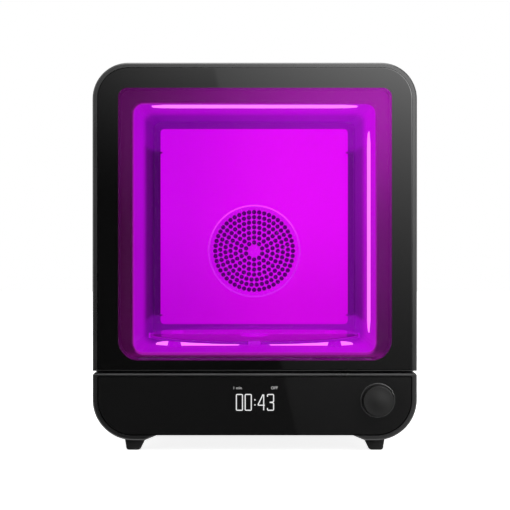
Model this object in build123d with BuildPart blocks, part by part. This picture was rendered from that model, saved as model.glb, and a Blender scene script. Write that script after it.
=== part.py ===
"""Curing station for resin prints: a lit, heated chamber with a glass turntable and a hinged door.

Frame: +X right, +Y to the rear, +Z up. Z = 0 is the table, X = 0 the middle of the width, and
Y = 0 the middle of the depth measured from the knob's face to the rear edge of the casing.
Depths are counted from the front face of the door, and grow towards the rear.
"""
from build123d import *
from math import cos, radians, sin
import os

# ---------------------------------------------------------------- overall sizes (mm)
BODY_WIDTH = 280.0
BODY_TOP = 336.0
BODY_DEPTH = 310.0
KNOB_PROUD = 9.5
TOP_RADIUS = 31.0
BASE_RADIUS = 35.0
WALL = 2.5
RIM_WIDTH = 4.3

# underside: two skids under the outer corners, joined by a raised middle
SKID_LOW = 10.2
SKID_WIDTH = 45.2
SKID_RAMP = 10.3
SKID_BLEND = 6.0

# seams between the door, the lower bezel and the casing
BEZEL_TOP = 68.2
DOOR_GAP = 1.9
DOOR_THICKNESS = 28.0
CASING_GAP = 2.0
BEZEL_CORNER = 2.5
TOP_BAR = 2.8
EDGE_BEVEL = 1.2

# glass panels
GLASS = 3.0
GLASS_SINK = 0.2
GLASS_GAP = 0.3
WEB = 3.0
DOOR_SILL = 1.0
SEAT_GAP = 0.1
FASCIA_TOP_RADIUS = 1.0
GLASS_LOW_RADIUS = 0.4

# shared by all pieces: flat sides of round shapes, and reach of cuts and roots past a face
ROUND_SIDES = 16
SMALL_SIDES = 12
RING_SIDES = 40
PILOT_SIDES = 6
HEAD_SIDES = 6
CUT_PAST = 1.0
ROOT_SINK = 0.5

# window in the door
WINDOW_BORDER = 21.3
WINDOW_SILL = 9.3
WINDOW_HEAD = 20.0
WINDOW_TOP_RADIUS = 10.4
WINDOW_LOW_RADIUS = 14.7
PANE = 3.0
PANEL = 3.4
GASKET = 1.6
GASKET_WIDTH = 3.0
GASKET_INSET = 1.0

# hinge
HINGE_OFFSET = 6.0
HINGE_STILE = 12.0
PIN_RADIUS = 1.75
PIN_REACH = 12.0
RUN_GAP = 0.05
PRESS_GAP = 0.01
TAB_HALF = 3.2
TAB_THICKNESS = 4.0
TAB_SLOT_GAP = 0.5
TAB_SIDE_GAP = 1.0
TAB_SWING_GAP = 2.0
HINGE_LOW_INSET = 27.9
HINGE_HIGH_INSET = 48.0
FOOT_PLATE = 2.5
FOOT_PLATE_HALF = 12.0
FOOT_PLATE_WIDTH = 24.0
HINGE_SCREW_REACH = 16.0
HINGE_SCREW_PITCH = 7.0
MAGNET_INSET = 11.5
MAGNET_WIDTH = 8.0
MAGNET_HEIGHT = 14.0
MAGNET = 2.5
MAGNET_LOW_INSET = 39.9
MAGNET_HIGH_INSET = 60.0
STRIKE = 1.5
SENSOR_INSET = 3.0
SENSOR_SIZE = (7.0, 24.0, 6.0)
STRIKE_MARGIN = 1.0

# chamber
FRAME_PLATE = 5.0
FRAME_LAP = 8.2
LIP_BEVEL = 2.5
FLOOR_RISE = 3.6
LIP_SIDE = 11.7
LIP_TOP = 13.0
SIDE_DRAFT = 3.5
TOP_DRAFT = 1.0
REAR_SPACE = 70.0
CHAMBER_CORNER = 8.0
CORNER_STEPS = 4
LINER = 2.0
FLANGE = 3.0

# turntable
TABLE_CLEARANCE = 3.0
TABLE_GLASS = 3.0
TABLE_RISE = 9.8
TABLE_OFFSET = 0.5
HUB_RADIUS = 14.0
SPIGOT_RADIUS = 6.0
CLIP_WIDTH = 9.0
CLIP_GRIP = 4.0
CLIP_WALL = 1.2
CLIPS = 4
POST_TAPER = 13.0
POST_SIDES = 8
POST_FOOT_RADIUS = 6.8
POST_INSET_X = 25.0
POST_INSET_Y = 12.0
POST_GAP = 0.3
SHAFT_RADIUS = 3.0
SHAFT_SOCKET = 10.0
SHAFT_DROP = 1.0
BUSH_WALL = 3.0
BUSH_PROUD = 1.2
BUSH_FOOT = 1.0
HUB_GAP = 0.3
BRACKET_DROP = 15.0
BRACKET_SHEET = 1.5
BRACKET_WIDTH = 24.0
BRACKET_LENGTH = 64.0
BRACKET_EAR = 8.0
TABLE_MOTOR_RADIUS = 18.5
TABLE_MOTOR_LENGTH = 26.0

# light bars, each a lens, a board and a finned sink
LENS_THICKNESS = 3.0
LENS_PROUD = 0.8
BOARD = 1.6
BAR_GAP = 0.2
BAR_CUT_END = 12.0
BAR_CUT_SIDE = 10.0
BOARD_MARGIN = 2.0
SINK_MARGIN = 4.0
SINK_BASE = 3.0
SINK_FIN = 1.6
SINK_HEIGHT = 9.0
SINK_FINS = 3
TOP_BAR_MARGIN = 10.5
TOP_BAR_WIDTH = 41.0
TOP_BAR_BACKSET = 26.5
SIDE_BAR_RISE = 13.0
SIDE_BAR_WIDTH = 35.0
SIDE_BAR_BACKSET = 62.5
SIDE_BAR_DROP = 19.0
FLOOR_BAR_INNER = 14.0
FLOOR_BAR_WIDTH = 52.0
FLOOR_BAR_MARGIN = 5.5

# rear wall of the chamber: reflector, grille and circulation fan
REFLECTOR_MARGIN = 7.5
REFLECTOR_RISE = 11.6
REFLECTOR_DROP = 7.4
REFLECTOR = 2.0
REFLECTOR_CORNER = 4.0
NOTCH_RISE = 9.0
NOTCH_DROP = 24.2
NOTCH = 2.0
RETURN_SLOT_WIDTH = 4.5
FAN_RISE = 86.5
GRILLE_RADIUS = 47.4
GRILLE_RIM = 2.2
GRILLE_PLATE = 1.6
GRILLE_PROUD = 1.4
INTAKE_MARGIN = 1.0
HOLE_RADIUS = 2.0
RING_FIRST = 8.7
RING_PITCH = 5.2
RING_COUNTS = [10, 16, 22, 28, 35, 41, 48]
HOLE_SIDES = 4
PLENUM_LAP = 2.5
PLENUM_RISE = 13.0
PLENUM_DROP = 20.0
PLENUM_DEPTH = 30.0
PLENUM_WALL = 1.6
ROTOR_RADIUS = 40.0
ROTOR_HUB_RADIUS = 9.0
ROTOR_SETBACK = 8.0
ROTOR_PLATE = 1.6
ROTOR_WIDTH = 14.0
ROTOR_BLADES = 11
BLADE = 1.2
BLADE_CHORD = 22.0
BLADE_ANGLE = 38.0
PROBE_RADIUS = 2.0
PROBE_TAIL = 4.0
PROBE_NUT = 3.0
PROBE_NUT_RADIUS = 4.0
HEATER_WIDTH = 30.0
HEATER_HEIGHT = 90.0
HEATER_BASE = 6.0
HEATER_FIN = 1.2
HEATER_FIN_DEPTH = 16.0
HEATER_FINS = 6
FAN_SHAFT_RADIUS = 2.5
FAN_SHAFT_END = 1.0
FAN_SHAFT_SOCKET = 8.0
FAN_SOCKET_GAP = 2.0
FAN_MOTOR_RADIUS = 24.0
FAN_MOTOR_LENGTH = 24.0

# controls
KNOB_INSET = 33.8
KNOB_Z = 44.7
KNOB_RADIUS = 12.95
KNOB_GAP = 1.05
KNOB_RING_WALL = 0.9
KNOB_DOME = 0.8
KNOB_DOME_RADIUS = 9.2
KNOB_DOME_FLAT = 3.0
KNOB_BEVEL = 1.0
KNOB_BACK = 2.0
KNOB_CAP = 3.6
KNOB_TRAVEL = 1.0
STEM_RADIUS = 3.0
PLUNGER_RADIUS = 4.5
PLUNGER_PROUD = 1.5
ENCODER_SIZE = 14.0
ENCODER_FRONT = 8.0
ENCODER_PLAY = 0.5
DISPLAY_WIDTH = 62.0
DISPLAY_HEIGHT = 30.0
DISPLAY_Z = 42.0
DISPLAY_THICKNESS = 4.0
DISPLAY_GAP = 0.5
DISPLAY_PLUG = (18.0, 4.0, 3.0)
CONTROL_BOARD_DEPTH = 15.0
CONTROL_BOARD_LEFT = -60.0
CONTROL_BOARD_REACH = 17.8
CONTROL_BOARD_LOW = 25.0
CONTROL_BOARD_HIGH = 61.0
CHIP = 12.0
CHIP_HEIGHT = 2.0
CHIP_PITCH = 29.0
BOARD_POST_RADIUS = 2.5
BOARD_POST_INSET = 6.0
BOARD_POST_GAP = 22.2
BOARD_POSTS_Z = [29.0, 57.0]

# base bay and rear panel
TRAY = 2.0
TRAY_MARGIN = 22.0
TRAY_END_GAP = 1.0
VENTS = 5
VENT_ROWS = 2
VENT_PITCH = 18.0
VENT_ROW_PITCH = 34.0
VENT_WIDTH = 6.0
VENT_LENGTH = 24.0
REAR_PANEL = 2.0
REAR_INSET = 2.0
SUPPLY_SIZE = (112.0, 92.0, 36.0)
SUPPLY_STEP = (92.0, 12.0, 16.0)
SUPPLY_SLOTS = 7
SUPPLY_SLOT_PITCH = 12.0
SUPPLY_SLOT = (4.0, 44.0, 2.0)
BAY_INSET = 80.0
SUPPLY_REAR_GAP = 29.0
LOGIC_SIZE = (96.0, 110.0)
LOGIC_FRONT_GAP = 25.0
RELAY_SIZE = (18.0, 15.0)
RELAY_PITCH = 26.0
RELAYS = 3
HEAT_SINK_SIZE = (8.0, 70.0)
DRIVER_SIZE = (24.0, 24.0)
COMPONENT_HEIGHT = 9.0
STANDOFF = 6.0
STANDOFF_INSET = 10.0
STANDOFF_RADIUS = 3.3
EXHAUST_SIZE = 50.0
EXHAUST_DEPTH = 15.0
EXHAUST_WALL = 1.5
EXHAUST_PIN_DROP = 4.0
EXHAUST_INSET = 78.0
EXHAUST_Z = 46.0
INLET_INSET = 56.0
SWITCH_INSET = 96.0
SOCKET_Z = 42.0
FOOT_SETBACK = 12.0
FOOT_LENGTH = 16.0
FOOT_TOP_INSETS = (43.8, 27.7)
FOOT_SOLE_INSETS = (38.8, 29.8)
SCREW_RADIUS = 1.5
SCREW_HEAD = 2.8
SCREW_HEAD_HEIGHT = 1.6
SCREW_LENGTH = 6.0
FOOT_CAP = 3.0
FOOT_SOFT = 1.4
REAR_VENTS = 9
REAR_VENT_PITCH = 16.0
REAR_VENT_WIDTH = 4.0
REAR_VENT_LENGTH = 64.0
REAR_VENT_DROP = 96.0
EXHAUST_ROWS = 3
EXHAUST_PITCH_Z = 6.0
EXHAUST_SLOT = 3.2
EXHAUST_OPEN = 22.0
EXHAUST_STRUT = 2.5
EXHAUST_HUB = 11.0
EXHAUST_TIP = 21.8
EXHAUST_ROOT = 1.5
EXHAUST_ROTOR = 9.0
EXHAUST_BLADES = 7
EXHAUST_CHORD = 10.0
EXHAUST_PITCH = 40.0
INLET_SIZE = (27.0, 19.6)
INLET_LENGTH = 22.0
INLET_WALL = 1.8
INLET_FLANGE = 2.5
PLUG_CORNER = 4.5
PLUG_PINS = [(-7.0, -1.5), (0.0, 2.5), (7.0, -1.5)]
PLUG_PIN = (2.0, 4.0)
PLUG_PIN_LENGTH = 16.0
FLANGE_PROUD = 1.8
SWITCH_SIZE = (19.0, 22.0)
SWITCH_LENGTH = 16.0
SWITCH_FLANGE = 1.0
SWITCH_BORDER = 2.0
SWITCH_FLOOR = 3.0
ROCKER_WIDTH = 12.0
ROCKER_HEIGHT = 16.0
ROCKER_GAP = 0.4
ROCKER_TILT = 8.0
ROCKER_FACE = 3.4
ROCKER_DIP = 1.1
ROCKER_BACK = 6.0
ROCKER_TAPER = 1.2
TRUNNION = 2.0
TRUNNION_RADIUS = 1.3
LUG = 9.0
LUG_LENGTH = 6.0
LUG_LOW = 62.0
LUG_DROP = 56.0
LUG_TOP_INSET = 70.0

# ---------------------------------------------------------------- places worked out from the sizes
FRONT_Y = -(BODY_DEPTH + KNOB_PROUD) / 2 + KNOB_PROUD
HALF_WIDTH = BODY_WIDTH / 2
SKID_MID = SKID_LOW + RIM_WIDTH
SKID_FLAT_END = HALF_WIDTH - SKID_WIDTH
SKID_RISE_END = SKID_FLAT_END - SKID_RAMP
DOOR_BOTTOM = BEZEL_TOP + DOOR_GAP
GLASS_BACK = GLASS_SINK + GLASS
WEB_BACK = GLASS_BACK + SEAT_GAP + WEB
CASING_FRONT = DOOR_THICKNESS + CASING_GAP
LINER_FRONT = CASING_FRONT + FRAME_PLATE
REAR_PANEL_FRONT = BODY_DEPTH - REAR_INSET - REAR_PANEL

# door
HALF_WINDOW = HALF_WIDTH - WINDOW_BORDER
WINDOW_LOW = DOOR_BOTTOM + WINDOW_SILL
WINDOW_HIGH = BODY_TOP - WINDOW_HEAD
PANEL_FRONT = DOOR_THICKNESS - PANEL
PANE_FRONT = PANEL_FRONT - PANE - SEAT_GAP
POCKET_LEFT = -HALF_WIDTH + HINGE_STILE
POCKET_RIGHT = HALF_WIDTH - WALL
HINGE_X = -HALF_WIDTH + HINGE_OFFSET
HINGE_DEPTH = DOOR_THICKNESS - HINGE_OFFSET
HINGE_Y = FRONT_Y + HINGE_DEPTH
HINGE_HEIGHTS = [DOOR_BOTTOM + HINGE_LOW_INSET, BODY_TOP - HINGE_HIGH_INSET]
HINGE_SCREW_X = HINGE_X + HINGE_SCREW_REACH
STRIKE_WIDTH = MAGNET_WIDTH + 2 * STRIKE_MARGIN
STRIKE_HEIGHT = MAGNET_HEIGHT + 2 * STRIKE_MARGIN
MAGNET_X = HALF_WIDTH - MAGNET_INSET
MAGNET_HEIGHTS = [DOOR_BOTTOM + MAGNET_LOW_INSET, BODY_TOP - MAGNET_HIGH_INSET]

# chamber and what stands in it
FRAME_SIDE = HALF_WIDTH - WALL - 2 * SEAT_GAP
FRAME_LOW = BEZEL_TOP - FRAME_LAP
FRAME_HIGH = BODY_TOP - WALL - 2 * SEAT_GAP
CHAMBER_FLOOR = WINDOW_LOW + FLOOR_RISE
CHAMBER_FRONT_WIDTH = 2 * (HALF_WINDOW - LIP_SIDE)
CHAMBER_FRONT_TOP = WINDOW_HIGH - LIP_TOP
CHAMBER_BACK_WIDTH = CHAMBER_FRONT_WIDTH - 2 * SIDE_DRAFT
CHAMBER_BACK_TOP = CHAMBER_FRONT_TOP - TOP_DRAFT
CHAMBER_BACK = BODY_DEPTH - REAR_SPACE
CHAMBER_DEPTH = CHAMBER_BACK - LINER_FRONT
LINER_UNDER = CHAMBER_FLOOR - LINER
TABLE_RADIUS = min(CHAMBER_BACK_WIDTH, CHAMBER_DEPTH) / 2 - TABLE_CLEARANCE
TABLE_TOP = CHAMBER_FLOOR + TABLE_RISE
TABLE_UNDER = TABLE_TOP - TABLE_GLASS
TABLE_DEPTH = LINER_FRONT + CHAMBER_DEPTH / 2 - TABLE_OFFSET
TABLE_Y = FRONT_Y + TABLE_DEPTH
POST_SPREAD_X = TABLE_RADIUS - POST_INSET_X
POST_SPREAD_Y = FLOOR_BAR_WIDTH / 2 + POST_INSET_Y
BUSH_RADIUS = SHAFT_RADIUS + BUSH_WALL
BUSH_TOP = CHAMBER_FLOOR + BUSH_PROUD
HUB_LOW = BUSH_TOP + HUB_GAP
SHAFT_TOP = TABLE_UNDER - SHAFT_DROP
MOTOR_TOP = LINER_UNDER - BRACKET_DROP

# light bars
TOP_BAR_LENGTH = CHAMBER_BACK_WIDTH - 2 * TOP_BAR_MARGIN
SIDE_BAR_LOW = CHAMBER_FLOOR + SIDE_BAR_RISE
SIDE_BAR_HIGH = CHAMBER_BACK_TOP - SIDE_BAR_DROP
SIDE_BAR_LENGTH = SIDE_BAR_HIGH - SIDE_BAR_LOW
SIDE_BAR_CENTRE = (SIDE_BAR_LOW + SIDE_BAR_HIGH) / 2
TOP_BAR_Z = CHAMBER_FRONT_TOP - TOP_DRAFT * TOP_BAR_BACKSET / CHAMBER_DEPTH - LENS_PROUD
SIDE_BAR_X = CHAMBER_FRONT_WIDTH / 2 - SIDE_DRAFT * SIDE_BAR_BACKSET / CHAMBER_DEPTH - LENS_PROUD
FLOOR_BAR_LENGTH = TABLE_RADIUS - FLOOR_BAR_MARGIN - FLOOR_BAR_INNER
FLOOR_BAR_OFFSET = FLOOR_BAR_INNER + FLOOR_BAR_LENGTH / 2

# rear wall of the chamber and the fan behind it
REFLECTOR_WIDTH = CHAMBER_BACK_WIDTH - 2 * REFLECTOR_MARGIN
REFLECTOR_LOW = CHAMBER_FLOOR + REFLECTOR_RISE
REFLECTOR_HIGH = CHAMBER_BACK_TOP - REFLECTOR_DROP
NOTCH_LOW = REFLECTOR_LOW + NOTCH_RISE
NOTCH_HIGH = REFLECTOR_HIGH - NOTCH_DROP
RETURN_SLOT_CENTRE = (CHAMBER_BACK_WIDTH - REFLECTOR_MARGIN) / 2
RETURN_SLOT_Z = (NOTCH_LOW + NOTCH_HIGH) / 2
FAN_Z = CHAMBER_FLOOR + FAN_RISE
PLENUM_FRONT = CHAMBER_BACK + LINER
PLENUM_BACK = PLENUM_FRONT + PLENUM_DEPTH
PLENUM_WIDTH = CHAMBER_BACK_WIDTH + 2 * PLENUM_LAP
PLENUM_LOW = CHAMBER_FLOOR + PLENUM_RISE
PLENUM_HIGH = CHAMBER_BACK_TOP - PLENUM_DROP
ROTOR_FRONT = PLENUM_FRONT + ROTOR_SETBACK
BLADE_CENTRE_RADIUS = ROTOR_RADIUS - BLADE_CHORD / 2 - BLADE
HEATER_X = (ROTOR_RADIUS + PLENUM_WIDTH / 2) / 2
PROBE_Z = (FAN_Z + ROTOR_RADIUS + PLENUM_HIGH) / 2
PROBE_DEPTH = PLENUM_FRONT + PLENUM_DEPTH / 2

# controls
KNOB_X = HALF_WIDTH - KNOB_INSET
KNOB_RECESS_RADIUS = KNOB_RADIUS + KNOB_GAP + KNOB_RING_WALL
CONTROL_BOARD_RIGHT = KNOB_X + CONTROL_BOARD_REACH
BOARD_POSTS_X = [CONTROL_BOARD_LEFT + BOARD_POST_INSET, KNOB_X - BOARD_POST_GAP]
PLUNGER_BACK = CONTROL_BOARD_DEPTH - KNOB_TRAVEL - ENCODER_PLAY

# electronics bay and rear panel
BAY_FLOOR = SKID_MID + WALL
TRAY_TOP = BAY_FLOOR + TRAY
TRAY_WIDTH = BODY_WIDTH - 2 * TRAY_MARGIN
LOGIC_X = HALF_WIDTH - BAY_INSET
LOGIC_DEPTH = LINER_FRONT + LOGIC_FRONT_GAP + LOGIC_SIZE[1] / 2
SUPPLY_X = BAY_INSET - HALF_WIDTH
SUPPLY_DEPTH = REAR_PANEL_FRONT - SUPPLY_REAR_GAP - SUPPLY_SIZE[1] / 2
EXHAUST_X = HALF_WIDTH - EXHAUST_INSET
EXHAUST_ROTOR_FRONT = REAR_PANEL_FRONT - EXHAUST_DEPTH + EXHAUST_WALL
INLET_X = INLET_INSET - HALF_WIDTH
SWITCH_X = SWITCH_INSET - HALF_WIDTH
SWITCH_PIVOT_DEPTH = REAR_PANEL_FRONT - SWITCH_FLANGE
LUG_X = HALF_WIDTH - WALL - LUG / 2 + ROOT_SINK
LUG_PLACES = [(side * LUG_X, height) for side in (-1, 1) for height in (LUG_LOW, BODY_TOP - LUG_DROP)]
LUG_PLACES += [
    (side * (HALF_WIDTH - LUG_TOP_INSET), BODY_TOP - WALL - LUG / 2 + ROOT_SINK) for side in (-1, 1)
]
FOOT_TOP_SPAN = [HALF_WIDTH - inset for inset in FOOT_TOP_INSETS]
FOOT_SOLE_SPAN = [HALF_WIDTH - inset for inset in FOOT_SOLE_INSETS]
FOOT_DEPTHS = {"front": FOOT_SETBACK, "rear": BODY_DEPTH - FOOT_SETBACK - FOOT_LENGTH}
CONTROL_POSTS = [(x, z) for x in BOARD_POSTS_X for z in BOARD_POSTS_Z]


# ---------------------------------------------------------------- shared shapes
def depth_plane(depth):
    """Upright plane facing the user, at a depth behind the front face."""
    return Plane.XZ.offset(-(FRONT_Y + depth))


def rounded_panel(left, right, low, high, low_radius, high_radius, high_left_radius=None):
    """Upright panel with its own radii at the lower and the upper corners."""
    if high_left_radius is None:
        high_left_radius = high_radius
    with BuildLine() as outline:
        FilletPolyline(
            (left, low), (right, low), (right, high), (left, high),
            radius=[low_radius, low_radius, high_radius, high_left_radius],
            close=True,
        )
    make_face(outline.edges())


def casing_outline(inset, top=BODY_TOP, top_radius=TOP_RADIUS):
    """Front view of the casing, drawn in by an inset: skids at the corners, a raised middle."""
    side = HALF_WIDTH - inset
    low = SKID_LOW + inset
    middle = SKID_MID + inset
    base = BASE_RADIUS - inset
    crown = max(top_radius - inset, 0.0)
    with BuildLine() as outline:
        FilletPolyline(
            (-side, low), (-SKID_FLAT_END, low), (-SKID_RISE_END, middle),
            (SKID_RISE_END, middle), (SKID_FLAT_END, low), (side, low),
            (side, top - inset), (-side, top - inset),
            radius=[base, SKID_BLEND, SKID_BLEND, SKID_BLEND, SKID_BLEND, base, crown, crown],
            close=True,
        )
    make_face(outline.edges())


def window_outline(margin):
    """The door's window, grown by a margin."""
    rounded_panel(
        -HALF_WINDOW - margin, HALF_WINDOW + margin, WINDOW_LOW - margin, WINDOW_HIGH + margin,
        WINDOW_LOW_RADIUS + margin, WINDOW_TOP_RADIUS + margin,
    )


def fascia_outline(margin):
    """The control panel's glass, inside the rim of the lower bezel."""
    side = HALF_WIDTH - RIM_WIDTH + margin
    rounded_panel(
        -side, side, SKID_MID - margin, BEZEL_TOP - TOP_BAR + margin,
        BASE_RADIUS - RIM_WIDTH + margin, FASCIA_TOP_RADIUS + margin,
    )


def door_glass_outline(margin):
    """The door's glass, inside the rim of the door frame."""
    side = HALF_WIDTH - RIM_WIDTH + margin
    rounded_panel(
        -side, side, DOOR_BOTTOM + DOOR_SILL - margin, BODY_TOP - RIM_WIDTH + margin,
        GLASS_LOW_RADIUS + margin, TOP_RADIUS - RIM_WIDTH + margin,
    )


def chamber_outline(width, top, margin):
    """Upright section through the chamber's walls, its corners folded in small equal steps."""
    reach = width / 2 - CHAMBER_CORNER
    radius = CHAMBER_CORNER + margin
    centres = [
        (reach, top - CHAMBER_CORNER), (-reach, top - CHAMBER_CORNER),
        (-reach, CHAMBER_FLOOR + CHAMBER_CORNER), (reach, CHAMBER_FLOOR + CHAMBER_CORNER),
    ]
    points = []
    for quarter, (x, z) in enumerate(centres):
        for step in range(CORNER_STEPS + 1):
            angle = radians(90.0 * (quarter + step / CORNER_STEPS))
            points.append((x + radius * cos(angle), z + radius * sin(angle)))
    with BuildLine() as outline:
        Polyline(*points, close=True)
    make_face(outline.edges())


def bar_outline(length, width):
    """Outline of a light bar, long and with its corners cut off."""
    end = length / 2
    side = width / 2
    with BuildLine() as outline:
        Polyline(
            (-end, BAR_CUT_SIDE - side), (BAR_CUT_END - end, -side),
            (end - BAR_CUT_END, -side), (end, BAR_CUT_SIDE - side),
            (end, side - BAR_CUT_SIDE), (end - BAR_CUT_END, side),
            (BAR_CUT_END - end, side), (-end, side - BAR_CUT_SIDE),
            close=True,
        )
    make_face(outline.edges())


def round_hole(radius, sides=ROUND_SIDES):
    """Hole with many flat sides, each clear of a circle of the radius."""
    RegularPolygon(radius, sides, major_radius=False, mode=Mode.SUBTRACT)


def finish(piece, name):
    """Label a finished piece and write its STEP file."""
    piece.part.label = name
    export_step(piece.part, f"parts/{name}.step")


os.makedirs("parts", exist_ok=True)

# ---------------------------------------------------------------- casing
with BuildPart() as outer_shell:
    with BuildSketch(depth_plane(CASING_FRONT)):
        casing_outline(0.0)
    extrude(amount=-(BODY_DEPTH - CASING_FRONT))
    shell_ends = outer_shell.faces().filter_by(Axis.Y)
    chamfer(shell_ends.edges(), length=EDGE_BEVEL)
    with BuildSketch(depth_plane(CASING_FRONT)):
        casing_outline(WALL)
    extrude(amount=-(BODY_DEPTH - CASING_FRONT), mode=Mode.SUBTRACT)
    # air intake under the bay
    with BuildSketch(Plane.XY.offset(SKID_MID)):
        with GridLocations(VENT_PITCH, VENT_ROW_PITCH, VENTS, VENT_ROWS):
            Rectangle(VENT_WIDTH, VENT_LENGTH)
    extrude(amount=WALL, mode=Mode.SUBTRACT)
    # lugs that take the screws of the rear panel
    with BuildSketch(depth_plane(REAR_PANEL_FRONT - LUG_LENGTH)):
        with Locations(*LUG_PLACES):
            Rectangle(LUG, LUG)
    extrude(amount=-LUG_LENGTH)
    with BuildSketch(depth_plane(REAR_PANEL_FRONT - LUG_LENGTH)):
        with Locations(*LUG_PLACES):
            RegularPolygon(SCREW_RADIUS, PILOT_SIDES)
    extrude(amount=-LUG_LENGTH, mode=Mode.SUBTRACT)
finish(outer_shell, "outer_shell")

with BuildPart() as base_tray:
    with BuildSketch(Plane.XY.offset(BAY_FLOOR)):
        with Locations((0.0, FRONT_Y + (LINER_FRONT + REAR_PANEL_FRONT) / 2)):
            Rectangle(TRAY_WIDTH, REAR_PANEL_FRONT - LINER_FRONT - 2 * TRAY_END_GAP)
        with GridLocations(VENT_PITCH, VENT_ROW_PITCH, VENTS, VENT_ROWS):
            Rectangle(VENT_WIDTH, VENT_LENGTH, mode=Mode.SUBTRACT)
    extrude(amount=TRAY)
finish(base_tray, "base_tray")

with BuildPart() as lower_bezel:
    with BuildSketch(depth_plane(0.0)):
        casing_outline(0.0, BEZEL_TOP, BEZEL_CORNER)
    extrude(amount=-CASING_FRONT)
    bezel_front = lower_bezel.faces().sort_by(Axis.Y)[0]
    chamfer(bezel_front.edges(), length=EDGE_BEVEL)
    with BuildSketch(depth_plane(WEB_BACK)):
        casing_outline(WALL, BEZEL_TOP, BEZEL_CORNER)
    extrude(amount=-(CASING_FRONT - WEB_BACK), mode=Mode.SUBTRACT)
    with BuildSketch(depth_plane(0.0)):
        fascia_outline(GLASS_GAP)
    extrude(amount=-(GLASS_BACK + SEAT_GAP), mode=Mode.SUBTRACT)
    with BuildSketch(depth_plane(GLASS_BACK)):
        with Locations((0.0, DISPLAY_Z)):
            Rectangle(DISPLAY_WIDTH + 2 * DISPLAY_GAP, DISPLAY_HEIGHT + 2 * DISPLAY_GAP)
        with Locations((KNOB_X, KNOB_Z)):
            RegularPolygon(PLUNGER_RADIUS + 2 * ENCODER_PLAY, ROUND_SIDES)
    extrude(amount=-(WEB + CUT_PAST), mode=Mode.SUBTRACT)
    # posts that carry the control board
    with BuildSketch(depth_plane(WEB_BACK - ROOT_SINK)):
        with Locations(*CONTROL_POSTS):
            RegularPolygon(BOARD_POST_RADIUS, PILOT_SIDES)
    extrude(amount=-(CONTROL_BOARD_DEPTH - WEB_BACK + ROOT_SINK))
finish(lower_bezel, "lower_bezel")

with BuildPart() as control_glass:
    with BuildSketch(depth_plane(GLASS_SINK)):
        fascia_outline(0.0)
        with Locations((KNOB_X, KNOB_Z)):
            round_hole(KNOB_RECESS_RADIUS + SEAT_GAP, RING_SIDES)
    extrude(amount=-GLASS)
finish(control_glass, "control_glass")

# ---------------------------------------------------------------- door
with BuildPart() as door_frame:
    with BuildSketch(depth_plane(0.0)):
        rounded_panel(-HALF_WIDTH, HALF_WIDTH, DOOR_BOTTOM, BODY_TOP, 0.0, TOP_RADIUS)
    extrude(amount=-DOOR_THICKNESS)
    door_front = door_frame.faces().sort_by(Axis.Y)[0]
    chamfer(door_front.edges().sort_by(Axis.Z)[1:], length=EDGE_BEVEL)
    # channel behind the glass, between the outer wall and the wall round the window
    with BuildSketch(depth_plane(WEB_BACK)):
        rounded_panel(
            POCKET_LEFT, POCKET_RIGHT, DOOR_BOTTOM + WALL, BODY_TOP - WALL,
            BEZEL_CORNER, TOP_RADIUS - WALL, TOP_RADIUS - HINGE_STILE,
        )
        with BuildSketch(mode=Mode.SUBTRACT):
            window_outline(WALL)
    extrude(amount=-(DOOR_THICKNESS - WEB_BACK), mode=Mode.SUBTRACT)
    with BuildSketch(depth_plane(PANE_FRONT)):
        window_outline(WALL)
    extrude(amount=-(DOOR_THICKNESS - PANE_FRONT), mode=Mode.SUBTRACT)
    # seat for the glass, then the window itself
    with BuildSketch(depth_plane(0.0)):
        door_glass_outline(GLASS_GAP)
    extrude(amount=-(GLASS_BACK + SEAT_GAP), mode=Mode.SUBTRACT)
    with BuildSketch(depth_plane(0.0)):
        window_outline(0.0)
    extrude(amount=-DOOR_THICKNESS, mode=Mode.SUBTRACT)
    # rear edge beside the hinge, rounded about the hinge axis
    with BuildSketch(Plane.XY.offset(DOOR_BOTTOM)):
        with Locations((HINGE_X, HINGE_Y)):
            Rectangle(2 * HINGE_OFFSET, 2 * HINGE_OFFSET, align=(Align.MAX, Align.MIN))
            Circle(HINGE_OFFSET, mode=Mode.SUBTRACT)
    extrude(amount=BODY_TOP - DOOR_BOTTOM, mode=Mode.SUBTRACT)
    # notches that the fixed hinge tabs reach into, and the holes for the pins
    for height in HINGE_HEIGHTS:
        with BuildSketch(Plane.XY.offset(height - TAB_THICKNESS / 2 - TAB_SLOT_GAP)):
            with Locations((-HALF_WIDTH - CUT_PAST, HINGE_Y - TAB_HALF - TAB_SWING_GAP)):
                Rectangle(
                    CUT_PAST + HINGE_OFFSET + TAB_HALF + TAB_SIDE_GAP, DOOR_THICKNESS,
                    align=(Align.MIN, Align.MIN),
                )
        extrude(amount=TAB_THICKNESS + 2 * TAB_SLOT_GAP, mode=Mode.SUBTRACT)
        with BuildSketch(Plane.XY.offset(height - PIN_REACH)):
            with Locations((HINGE_X, HINGE_Y)):
                RegularPolygon(PIN_RADIUS + PRESS_GAP, SMALL_SIDES)
        extrude(amount=2 * PIN_REACH, mode=Mode.SUBTRACT)
finish(door_frame, "door_frame")

with BuildPart() as door_glass:
    with BuildSketch(depth_plane(GLASS_SINK)):
        door_glass_outline(0.0)
    extrude(amount=-GLASS)
finish(door_glass, "door_glass")

with BuildPart() as door_inner_pane:
    with BuildSketch(depth_plane(PANE_FRONT)):
        window_outline(WALL - GLASS_GAP)
    extrude(amount=-PANE)
finish(door_inner_pane, "door_inner_pane")

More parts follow.
